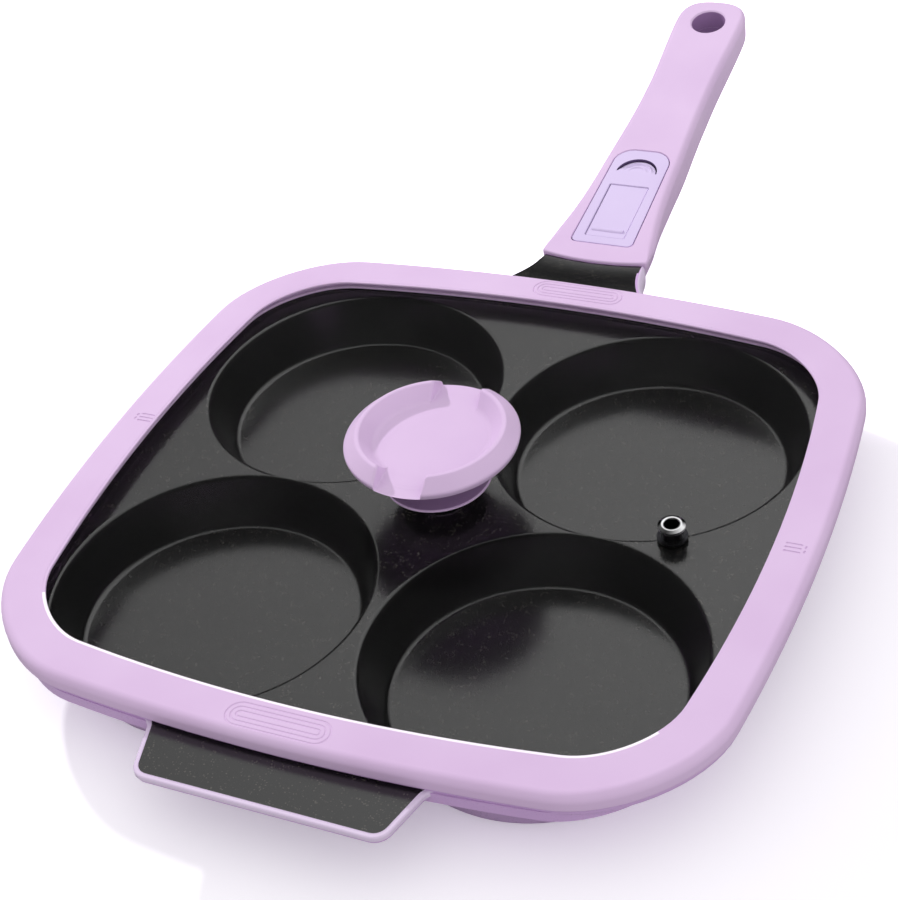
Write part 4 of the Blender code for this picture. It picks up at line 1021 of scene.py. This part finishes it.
def makeVent():
    seat = lidGlass["lowZ"] + lidGlass["thickness"] + 0.05
    high = seat + vent["crown"]
    under = high - vent["crownThickness"]
    ringTop = seat + vent["seatThickness"]
    centre = (lidGlass["ventX"], rim["shiftY"])
    section = softLine([
        (vent["bore"], vent["rollZ"], 0.2),
        (vent["bore"], high - 0.1, 0.9),
        (vent["bore"] + 1.0, high, 0.6),
        (vent["flange"], under + 0.25, 0.5),
        (vent["flange"] - 0.25, under, 0.12),
        (vent["waist"], under, 0),
        (vent["waist"], ringTop, 0),
        (vent["seatRing"], ringTop, 0.12),
        (vent["seatRing"], seat, 0.1),
        (vent["bore"] + vent["tube"], seat, 0),
        (vent["bore"] + vent["tube"], vent["rollZ"] + 0.6, 0),
        (vent["rollRadius"], vent["rollZ"] + 0.6, 0.2),
        (vent["rollRadius"], vent["rollZ"], 0.3),
    ], 5, closed=True)
    made = turned("steam_vent", section, 64, centre, loop=True)

    def finishOf(face):  # chrome where it shows; dark steel as painted shade in the bore, at the waist and under the glass
        radius = math.hypot(face.center.x - centre[0], face.center.y - centre[1])
        atWaist = ringTop < face.center.z < under and radius < vent["waist"] + 0.05
        return 1 if face.center.z < seat or atWaist or radius < vent["bore"] + 0.05 else 0

    paint(made, [chrome, darkSteelAndShade], finishOf)
    return setInPlace(made, panPlace, "lid", ["vent_eyelet"], 60)


makeVent()

knob = {
    "footRadius": 15.5,
    "bowlRadius": 19.2,
    "bowlHeight": 3.4,
    "beadSize": 0.45,
    "waistRadius": 20.5,
    "radius": 32.0,
    "crestRadius": 26.6,
    "dishRadius": 20.5,
    "height": 26.5,
    "waistHeight": 11.8,
    "edgeHeight": 22.2,
    "edgeRound": 1.4,
    "lip": 2.4,
    "dishDepth": 5.5,
    "dishRound": 3.4,
    "crestRound": 1.3,
    "waistOut": 5.0,
    "waistUp": 5.5,
    "waistRound": 5.0,
    "bowlOut": 1.6,
    "bowlUp": 4.0,
    "bowlRound": 9.0,
    "notchHalf": 9.0,
    "notchFoot": 0.8,
    "notchBrow": 1.3,
    "notchEdge": 1.1,
    "notchReach": 16.5,
    "arcSteps": 18,
}


def knobProfile():  # from the dish's middle over the crest to the edge, then under it and down the bowl
    top = knob["height"]
    dishZ = top - knob["dishDepth"]
    edgeZ = knob["edgeHeight"]
    foot, bowl, bowlZ = knob["footRadius"], knob["bowlRadius"], knob["bowlHeight"]
    bead = knob["beadSize"]
    line = softLine([
        (0, dishZ, 0),
        (knob["dishRadius"] + 0.6, dishZ, knob["dishRound"]),
        (knob["crestRadius"] - 0.9, top, knob["crestRound"]),
        (knob["crestRadius"] + 0.5, top, 1.2),
        (knob["radius"], edgeZ, knob["edgeRound"]),
        (knob["radius"] - 0.7, edgeZ - knob["lip"], 0.9),
        (knob["waistRadius"] + knob["waistOut"], knob["waistHeight"] + knob["waistUp"], knob["waistRound"]),
        (bowl + knob["bowlOut"], bowlZ + knob["bowlUp"], knob["bowlRound"]),
        (bowl, bowlZ + bead * 1.6, 0.15),
        (bowl + bead, bowlZ + bead * 1.2, 0.3),
        (bowl + bead, bowlZ, 0.3),
        (bowl - 0.3, bowlZ - 0.2, 0.3),
        (foot, 0.0, 0.3),
        (foot - 1.0, 0.0, 0),
    ], 7)
    return [(radius, dishZ) for radius in (1.0, 5.0, 9.0, 13.0, 16.0)] + line[1:]


def knobColumns():  # (distance from the notch's middle line, share of the full height) across one wall
    half, foot, brow, depth = knob["notchHalf"], knob["notchFoot"], knob["notchBrow"], knob["dishDepth"]
    columns = [(half * share, 0.0) for share in (0.0, 0.2, 0.4, 0.6, 0.75)]
    for k in range(6):
        angle = quarterTurn * 0.9 * k / 5
        columns.append((half - foot + foot * math.sin(angle), foot * (1 - math.cos(angle)) / depth))
    for k in range(9):
        angle = quarterTurn * (0.1 + 0.9 * k / 8)
        columns.append((half + 0.1 + brow * (1 - math.cos(angle)), 1 - brow * (1 - math.sin(angle)) / depth))
    return columns


def makeKnob():
    floorZ = knob["height"] - knob["dishDepth"]
    notchZ = floorZ
    rings = []
    columns = knobColumns()
    edge = knob["notchEdge"]
    passedWidest = False
    for radius, z in knobProfile():
        passedWidest = passedWidest or z < knob["edgeHeight"] - 0.4 and radius > knob["dishRadius"]
        beyond = max(0.0, radius - (knob["radius"] - edge))
        drop = edge - math.sqrt(max(0.0, edge * edge - beyond * beyond))
        if passedWidest:
            notchZ = min(notchZ - 0.02, z)
            inNotch = notchZ
        else:
            notchZ = min(notchZ, floorZ - drop)
            inNotch = min(z, floorZ - drop)
        quarter = []
        reach = max(radius, knob["notchReach"])
        for x, share in columns:
            quarter.append((math.asin(min(1.0, x / reach)), inNotch + (z - inNotch) * share))
        last = quarter[-1][0]
        for k in range(1, knob["arcSteps"] + 1):
            quarter.append((last + (quarterTurn - last) * k / knob["arcSteps"], z))
        ring = []
        for sideX, sideY in ((1, 1), (1, -1), (-1, -1), (-1, 1)):
            part = [(sideX * radius * math.sin(angle), sideY * radius * math.cos(angle), height)
                    for angle, height in quarter]
            ring += part[:-1] if sideX == sideY else part[::-1][:-1]
        rings.append(ring)
    made = skin("lid_knob", rings)
    paint(made, [knobPlastic])
    base = lidGlass["lowZ"] + lidGlass["thickness"] + 0.3
    moved(made, Matrix.Translation((0, rim["shiftY"], base)))
    return setInPlace(made, panPlace, "lid", ["knob"], 60, weighted=False)


makeKnob()


# The handle: two shells, with the latch lever let into the top

handle = {
    "length": 181.6,
    "frontHeight": 14.8,
    "middleRise": 11.745,
    "endRise": 25.55,
    "gripHalf": neck["gripHalf"],
    "flare": neck["flare"],
    "flareLength": 30.0,
    "endLength": 15.5,
    "endPower": 2.6,
    "endSpread": 1.7,
    "frontSpread": 1.3,
    "frontSpreadOn": (2.0, 20.0),
    "frontSpreadOff": (60.0, 110.0),
    "spreadStart": 120.0,
    "spreadEnd": 168.0,
    "bellyStart": 28.1,
    "bellyMiddleRise": 10.06,
    "bellyEndRise": 27.18,
    "side": 8.5,
    "roll": 3.2,
    "endRoll": 1.6,
    "frontRoll": 0.8,
    "wall": 2.4,
    "frontWall": 4.1,
    "endBlock": 29.5,
    "holeRadius": 7.75,
    "holeInset": 15.5,
    "holeRound": 1.1,
    "holeEnd": 60.0,
    "frontCorner": 2.4,
    "frontSide": 2.4,
    "sideLength": 55.0,
    "tuck": 0.38,
    "tuckStart": 30.0,
    "tuckEnd": 80.0,
    "boxy": 0.35,
    "endLift": 1.5,
    "liftStart": 105.0,
    "seam": 0.04,
}

handlePlace = Matrix.Translation((0, handleFront, handleLow)) @ Matrix.Scale(millimetre, 4)
curve = 2 * (handle["endRise"] - 2 * handle["middleRise"]) / handle["length"] ** 2
slope = (4 * handle["middleRise"] - handle["endRise"]) / handle["length"]
bellyLength = handle["length"] - handle["bellyStart"]
bellyCurve = 2 * (handle["bellyEndRise"] - 2 * handle["bellyMiddleRise"]) / bellyLength ** 2
bellySlope = (4 * handle["bellyMiddleRise"] - handle["bellyEndRise"]) / bellyLength


def endLift(y):
    return handle["endLift"] * smoothStep(y, handle["liftStart"], handle["length"])


def handleTop(y):
    return handle["frontHeight"] + slope * y + curve * y * y + endLift(y)


def handleBottom(y):
    run = max(0.0, y - handle["bellyStart"])
    return bellySlope * run + bellyCurve * run * run + endLift(y)


def rise(surface, y):
    return (surface(y + 1) - surface(y - 1)) / 2


def handleHalf(y):
    half = handle["gripHalf"] + handle["flare"] / (1 + (max(0.0, y) / handle["flareLength"]) ** 2)
    half += handle["endSpread"] * smoothStep(y, handle["spreadStart"], handle["spreadEnd"])
    widened = smoothStep(y, *handle["frontSpreadOn"]) - smoothStep(y, *handle["frontSpreadOff"])
    half += handle["frontSpread"] * widened
    intoEnd = (y - (handle["length"] - handle["endLength"])) / handle["endLength"]
    if intoEnd > 0:
        half *= max(0.0, 1 - min(1.0, intoEnd) ** handle["endPower"]) ** (1 / handle["endPower"])
    return half


def endSteps(count, share=1.0):  # places along the end, closer together where it turns fast
    start = handle["length"] - handle["endLength"]
    reach = handle["endLength"] * share
    return [start + reach * math.sin(quarterTurn * k / count) ** (2 / handle["endPower"])
            for k in range(1, count + 1)]


def handlePlan():  # right half from the front's middle round to the tip, then the left half
    corner = handle["frontCorner"]
    right = [(x, frontArc(x)) for x in [(gripFrontHalf - corner) * k / 12 for k in range(13)]]
    frontY = frontArc(gripFrontHalf)
    sideStart = frontY + corner
    tip = (handleHalf(frontY), frontY)
    right += cornerArc(right[-1], tip, (handleHalf(sideStart + 2), sideStart + 2), corner, 8)
    straightEnd = handle["length"] - handle["endLength"]
    start = right[-1][1] + 1.5
    for k in range(61):
        y = start + (straightEnd - start) * k / 60
        right.append((handleHalf(y), y))
    right += [(handleHalf(y), y) for y in endSteps(26)[:-1]]
    right.append((0.0, handle["length"]))
    left = [(-x, y) for x, y in reversed(right[1:-1])]
    return right + left


def stripCap(first, count):  # faces across a ring whose points pair up, right with left
    faces = [(first, first + 1, first + count - 1)]
    half = count // 2
    for k in range(1, half - 1):
        faces.append((first + k, first + k + 1, first + count - k - 1, first + count - k))
    faces.append((first + half - 1, first + half, first + half + 1))
    return faces


def pairedSkin(name, rings):
    count = len(rings[0])
    points = [tuple(point) for ring in rings for point in ring]
    faces = []
    for k in range(len(rings) - 1):
        for j in range(count):
            after = (j + 1) % count
            faces.append((k * count + j, k * count + after, (k + 1) * count + after, (k + 1) * count + j))
    faces += stripCap(0, count) + stripCap(len(points) - count, count)
    return newPiece(name, points, faces)


def rollAt(y):
    roll = handle["frontRoll"] + (handle["roll"] - handle["frontRoll"]) * smoothStep(y, 3.0, 16.0)
    return roll + (handle["endRoll"] - roll) * smoothStep(y, handle["length"] - 14, handle["length"])


def sideHeight(y):  # how far down the side stays upright, less towards the pan
    gain = smoothStep(y, 0.0, handle["sideLength"])
    return handle["frontSide"] + (handle["side"] - handle["frontSide"]) * gain


def drawnUnder(y, drop):  # the share of the half width left at this depth under the top
    tuck = handle["tuck"] * (1 - smoothStep(y, handle["tuckStart"], handle["tuckEnd"]))
    return 1 - tuck * max(0.0, drop - sideHeight(y)) / max(8.0, handleHalf(y))


def crossLoft(name, stations, halfAt, lowAt, highAt):
    rings = []
    for y in stations:
        half, low, high = halfAt(y), lowAt(y), highAt(y)
        rings.append([(-half, y, low), (half, y, low), (half, y, high), (-half, y, high)])
    return skin(name, rings)


def steps(start, end, count):
    return [start + (end - start) * k / count for k in range(count + 1)]


def hollowOut(shell, sideWall, lowAt, highAt):
    def halfAt(y):
        return handleHalf(y) * drawnUnder(y, handle["side"]) - sideWall

    room = steps(handle["frontWall"], handle["length"] - handle["endBlock"], 24)
    cut(shell, crossLoft("inside", room, halfAt, lowAt, highAt))


def holeCutter(surface, upward):  # the hang hole's cutter, flared where it leaves this surface
    y = handle["length"] - handle["holeInset"]
    radius, soft = handle["holeRadius"], handle["holeRound"]
    flare = []
    for k in range(7):
        angle = quarterTurn * k / 6 * 0.9
        out = radius + soft * (1 - math.cos(angle))
        flare.append((out, surface(y) + upward * soft * (math.sin(angle) - 1)))
    flare.append((radius + soft * 1.6, flare[-1][1] + upward * 0.6))
    profile = [(radius, 0)] + flare if upward > 0 else flare[::-1] + [(radius, handle["holeEnd"])]
    made = turned("hang_hole", profile, 70, (0, y))
    # the hole's wall takes the second finish, a painted shade
    marked(made, lambda face: 1 if math.hypot(face.center.x, face.center.y - y) < radius + 0.15 else 0)
    shear = Matrix.Identity(4)
    shear[2][1] = rise(surface, y)
    return moved(made, Matrix.Translation((0, -y, 0)), shear, Matrix.Translation((0, y, 0)))


lever = {
    "barrel": 2.0,
    "length": 62.6,
    "thickness": 4.2,
    "frontHalf": 13.7,
    "rearHalf": 12.5,
    "frontCorner": 2.6,
    "openingCorner": 2.4,
    "rearCorner": 8.5,
    "gap": 0.3,
    "edge": 0.35,
    "camStart": 4.0,
    "camLength": 5.0,
    "camHalf": 10.0,
    "camLow": -5.3,
    "pinBore": 1.3,
    "seatHalf": 2.9,
    "openingLow": -9.0,
    "openingEdge": ((0.0, 1.55), (0.12, 1.8), (0.5, 2.35), (0.6, 6.0)),
}

pinLow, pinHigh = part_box("lever_pivot_pin")
pinPoint = (pinLow + pinHigh) / 2
pinY = (pinPoint.y - handleFront) / millimetre
leverTilt = math.atan2(handleTop(pinY + lever["length"]) - handleTop(pinY), lever["length"])
leverPlace = Matrix.Translation(pinPoint) @ Matrix.Rotation(leverTilt, 4, "X") @ Matrix.Scale(millimetre, 4)
leverToHandle = handlePlace.inverted() @ leverPlace


def leverPlan(frontCorner):
    front = -lever["barrel"]
    rear = lever["length"] - lever["barrel"]
    return softLine([
        (-lever["frontHalf"], front, frontCorner),
        (lever["frontHalf"], front, frontCorner),
        (lever["rearHalf"], rear, lever["rearCorner"]),
        (-lever["rearHalf"], rear, lever["rearCorner"]),
    ], 14, closed=True)


def leverOpening():
    gap = lever["gap"]
    profile = [(-gap, lever["openingLow"])] + [(-gap - out, z) for out, z in lever["openingEdge"]]
    return moved(slab("lever_opening", leverPlan(lever["openingCorner"]), profile), leverToHandle)


def tongueMouth():
    half = tongue["half"] + tongue["gap"]
    low = tongue["lowZ"] - tongue["gap"]
    high = tongue["lowZ"] + tongue["thickness"] + tongue["gap"]
    return block("tongue_mouth", (-half, -5.0, low), (half, handle["frontWall"] + 1, high))


def makeUpperShell():
    plan = handlePlan()
    seam = handle["seam"]
    rings = []
    for share in (1.0, 0.96, 0.75, 0.5, 0.25, 0.0):
        ring = []
        for x, y in plan:
            upright = min(sideHeight(y), handle["side"] - seam - 0.5)
            drop = upright + (handle["side"] - seam - upright) * share
            ring.append((x * drawnUnder(y, drop), y, handleTop(y) - drop))
        rings.append(ring)
    for k in range(9):
        angle = quarterTurn * k / 8
        insets = [rollAt(y) * (1 - math.cos(angle)) for x, y in plan]
        ring = []
        for (x, y), inset, (_, planY) in zip(drawnIn(plan, insets), insets, plan):
            roll = rollAt(planY)
            ring.append((x, y, handleTop(y) - roll + roll * math.sin(angle)))
        rings.append(ring)
    shell = marked(pairedSkin("handle_top", rings), 0)
    wall = handle["wall"]
    hollowOut(shell, wall * 0.8, lambda y: handleTop(y) - handle["side"] - 1, lambda y: handleTop(y) - wall)
    for side in (-1, 1):
        low, high = sorted((side * (lever["frontHalf"] + 0.15), side * (handleHalf(pinY) - wall / 2)))
        seatLow = (pinPoint.z - handleLow) / millimetre - 4.0
        seatHigh = handleTop(pinY) - wall / 2
        around = lever["seatHalf"]
        join(shell, block("pin_seat", (low, pinY - around, seatLow), (high, pinY + around, seatHigh)))
    cut(shell, leverOpening(), tongueMouth(), holeCutter(handleTop, 1))
    # the second finish is painted shade on the hang hole's wall
    paint(shell, [lilacPlastic, hollowShadePlastic])
    return setInPlace(shell, handlePlace, "handle", ["handle_upper_shell"], 35)


handleScrews = ["shell_screw_front", "shell_screw_rear", "chassis_screw_front", "chassis_screw_rear"]


def makeLowerShell():
    seam = handle["seam"]
    straightEnd = handle["length"] - handle["endLength"]
    places = [(0.0, 0.7), (0.15, 0.3), (0.6, 0.0)] + [(y, 0.0) for y in steps(2.0, straightEnd, 60)]
    places += [(y, 0.0) for y in endSteps(20, 0.999)]
    rings = []
    for y, inset in places:
        half = handleHalf(max(y, 0)) * drawnUnder(y, handle["side"]) - inset
        part = handleTop(y) - handle["side"] - seam
        intoEnd = max(0.0, (y - straightEnd) / handle["endLength"])
        low = handleBottom(y) + inset
        low += (part - low) * 0.55 * (1 - math.sqrt(max(0.0, 1 - min(1.0, intoEnd) ** 2.4)))
        right = []
        power = 0.8 - handle["boxy"] * smoothStep(y, handle["tuckStart"], handle["tuckEnd"])
        for j in range(17):
            angle = quarterTurn * j / 16
            right.append((half * math.sin(angle) ** power, part - (part - low) * math.cos(angle) ** power))
        left = [(-x, z) for x, z in reversed(right) if x > 1e-6]
        fade = 1 - smoothStep(y, 0.0, 30.0)
        rings.append([(x, y + frontArc(x) * fade, z) for x, z in right + left])
    shell = marked(skin("handle_underside", rings), 0)
    wall, side = handle["wall"], handle["side"]
    hollowOut(shell, wall + 1.0, lambda y: handleBottom(y) + wall, lambda y: handleTop(y) - side + 1)
    cut(shell, tongueMouth(), holeCutter(handleBottom, -1))
    for name in handleScrews:
        low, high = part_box(name)
        centreY = ((low + high) / 2).y
        y = (centreY - handleFront) / millimetre
        radius = (high.x - low.x) / 2 / millimetre + 0.3
        seat = handleBottom(y) + 1.7
        cut(shell, turned("screw_hole", [(radius, -5), (radius, seat)], 40, (0, y)))
    # the second finish is painted shade on the hang hole's wall
    paint(shell, [lilacPlastic, hollowShadePlastic])
    return setInPlace(shell, handlePlace, "handle", ["handle_lower_shell"], 35)


makeUpperShell()
makeLowerShell()

slider = {
    "start": 2.5,
    "window": 34.2,
    "half": 8.7,
    "sink": 0.5,
    "thickness": 1.8,
    "gap": 0.25,
    "pocketEnd": 42.6,
    "skin": 0.4,
    "ridgeStart": 6.0,
    "ridgeLength": 2.2,
    "ridgeHigh": 0.6,
    "nibStart": 12.5,
    "nibLength": 2.7,
    "nibHalf": 2.0,
}

scoop = {
    "centre": 45.6,
    "radius": 9.2,
    "depth": 1.1,
    "groove": 1.5,
    "grooveWidth": 0.34,
    "ridges": 2,
    "ridgeHigh": 0.75,
    "ridgeWidth": 0.55,
    # the next is how wide the painted shade runs along the round edge
    "line": 0.62,
    "rows": 56,
    "columns": 48,
}


def scoopDepth(radius, ahead):  # deepest under the round edge, rising to the front, with ridges inside
    fade = smoothStep(ahead, -0.5, 4.5)
    depth = scoop["depth"] * (0.25 + 0.75 * smoothStep(radius, 0.0, scoop["radius"])) * fade + 0.02
    for k in range(scoop["ridges"]):
        middle = scoop["radius"] * (0.72 - 0.27 * k)
        away = (radius - middle) / scoop["ridgeWidth"]
        depth -= scoop["ridgeHigh"] * fade * math.exp(-away * away)
    edge = (scoop["radius"] - radius) / scoop["grooveWidth"]
    return max(0.0, depth) + scoop["groove"] * fade * math.exp(-edge * edge)


def scoopCutter():
    rows, columns = scoop["rows"], scoop["columns"]
    points = []
    for k in range(rows + 1):
        radius = scoop["radius"] * k / rows
        for j in range(columns + 1):
            angle = 2 * quarterTurn * j / columns
            x = radius * math.cos(angle)
            ahead = radius * math.sin(angle)
            points.append((x, scoop["centre"] + ahead, lever["barrel"] - scoopDepth(radius, ahead)))
    count = len(points)
    points += [(x, y, lever["barrel"] + 1.5) for x, y, z in points]
    faces = []
    wide = columns + 1
    for k in range(rows):
        for j in range(columns):
            a = k * wide + j
            quad = (a, a + 1, a + wide + 1, a + wide)
            faces += [quad, tuple(count + p for p in quad)]
    for j in range(columns):
        a = rows * wide + j
        faces.append((a, a + 1, count + a + 1, count + a))
    for j in (0, columns):
        for k in range(rows):
            a = k * wide + j
            faces.append((a, a + wide, count + a + wide, count + a))
    made = newPiece("scoop", points, faces)

    # faces in the round groove take the painted shade
    def onGrooveShade(face):
        ahead = face.center.y - scoop["centre"]
        return 1 if ahead > 0.6 and math.hypot(face.center.x, ahead) > scoop["radius"] - scoop["line"] else 0

    return marked(made, onGrooveShade)


def sidePiece(name, outline, half):  # an outline of (y, z), from -half to half along x
    return skin(name, [[(x, y, z) for y, z in outline] for x in (-half, half)])


def makeLever():
    high = lever["barrel"]
    edge = lever["edge"]
    plate = slab("latch_panel", leverPlan(lever["frontCorner"]), [
        (0, -12.0), (0, high - edge), (edge * 0.3, high - edge * 0.3), (edge, high),
    ])
    low = high - lever["thickness"]
    rear = lever["length"]
    outline = [(rear, high + 1), (-lever["barrel"], high + 1), (-lever["barrel"], 0.3)]
    for k in range(9):
        angle = quarterTurn * (2 + k / 8)
        outline.append((lever["barrel"] * math.cos(angle), lever["barrel"] * math.sin(angle)))
    outline += [(lever["camStart"], low), (rear, low)]
    keep(plate, sidePiece("lever_side", outline, 20))
    marked(plate, 0)
    camEnd = lever["camStart"] + lever["camLength"]
    cam = [(lever["camStart"], low + 0.3), (lever["camStart"], lever["camLow"] + 0.6),
           (camEnd, lever["camLow"]), (camEnd, low + 0.3)]
    join(plate, sidePiece("cam", cam, lever["camHalf"]))
    bore = turned("bore", [(lever["pinBore"], -20), (lever["pinBore"], 20)], 32)
    cut(plate, moved(bore, Matrix.Rotation(quarterTurn, 4, "Y")))
    plateLow = high - slider["sink"] - slider["thickness"] - slider["gap"]
    half = slider["half"] + slider["gap"]
    windowEnd = slider["start"] + slider["window"]
    window = oblong(half, slider["start"], windowEnd, 0.5, 0.5, 4)
    edges = [(0, plateLow), (0, high - 0.25), (-0.25, high + 0.02), (-0.4, high + 0.5)]
    pocketHigh = (half, slider["pocketEnd"], high - slider["skin"])
    pocket = block("pocket", (-half, windowEnd - 1, plateLow), pocketHigh)
    cut(plate, slab("window", window, edges), pocket)
    channel = slider["nibHalf"] + slider["gap"]
    cut(plate, block("channel", (-channel, slider["nibStart"] - 0.3, low - 1),
                     (channel, slider["pocketEnd"], plateLow + 0.1)))
    cut(plate, scoopCutter())
    # the second finish is painted shade in the scoop's groove
    paint(plate, [lavenderPlastic, grooveShadePlastic])
    return setInPlace(plate, leverPlace, "lever", ["latch_lever"], 35)


def makeSlider():
    high = lever["barrel"] - slider["sink"]
    low = high - slider["thickness"]
    start = slider["start"] + slider["gap"]
    end = slider["start"] + slider["window"] + 1.5
    half = slider["half"]
    outline = oblong(half, start, end, 0.5, 0.5, 4)
    plate = slab("slide_catch", outline, [(0, low), (0, high - 0.2), (0.2, high)])
    ridgeY, ridgeLength, ridgeHigh = slider["ridgeStart"], slider["ridgeLength"], slider["ridgeHigh"]
    ridge = [(ridgeY, high - 0.3)]
    for k in range(13):
        share = k / 12
        ridge.append((ridgeY + ridgeLength * share, high + ridgeHigh * math.sin(math.pi * share) ** 0.7))
    ridge.append((ridgeY + ridgeLength, high - 0.3))
    join(plate, sidePiece("ridge", ridge, half * 0.8))
    nibLow = lever["barrel"] - lever["thickness"] + 0.3
    join(plate, block("nib", (-slider["nibHalf"], slider["nibStart"], nibLow),
                      (slider["nibHalf"], slider["nibStart"] + slider["nibLength"], low + 0.5)))
    paint(plate, [lavenderPlastic])
    return setInPlace(plate, leverPlace, "slider", ["release_slider"], 35)


makeLever()
makeSlider()


# Pieces whose solids already have their shape take a better finish

kept = {"vent_washer": darkSteelAndShade, "knob_insert": brass, "knob_gasket": lilacSilicone}
discs = [f"induction_disc_{end}_{side}" for end in ("front", "rear") for side in ("left", "right")]
steelParts = ["knob_screw", "knob_washer", "handle_chassis", "lever_pivot_pin", "jaw_guide_left",
              "jaw_guide_right", "clamp_jaw", "jaw_spring", "slider_spring"]
for name in discs + steelParts + handleScrews:
    kept[name] = steel

for name, finish in kept.items():
    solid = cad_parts[name]
    solid.data.materials.clear()
    solid.data.materials.append(finish)
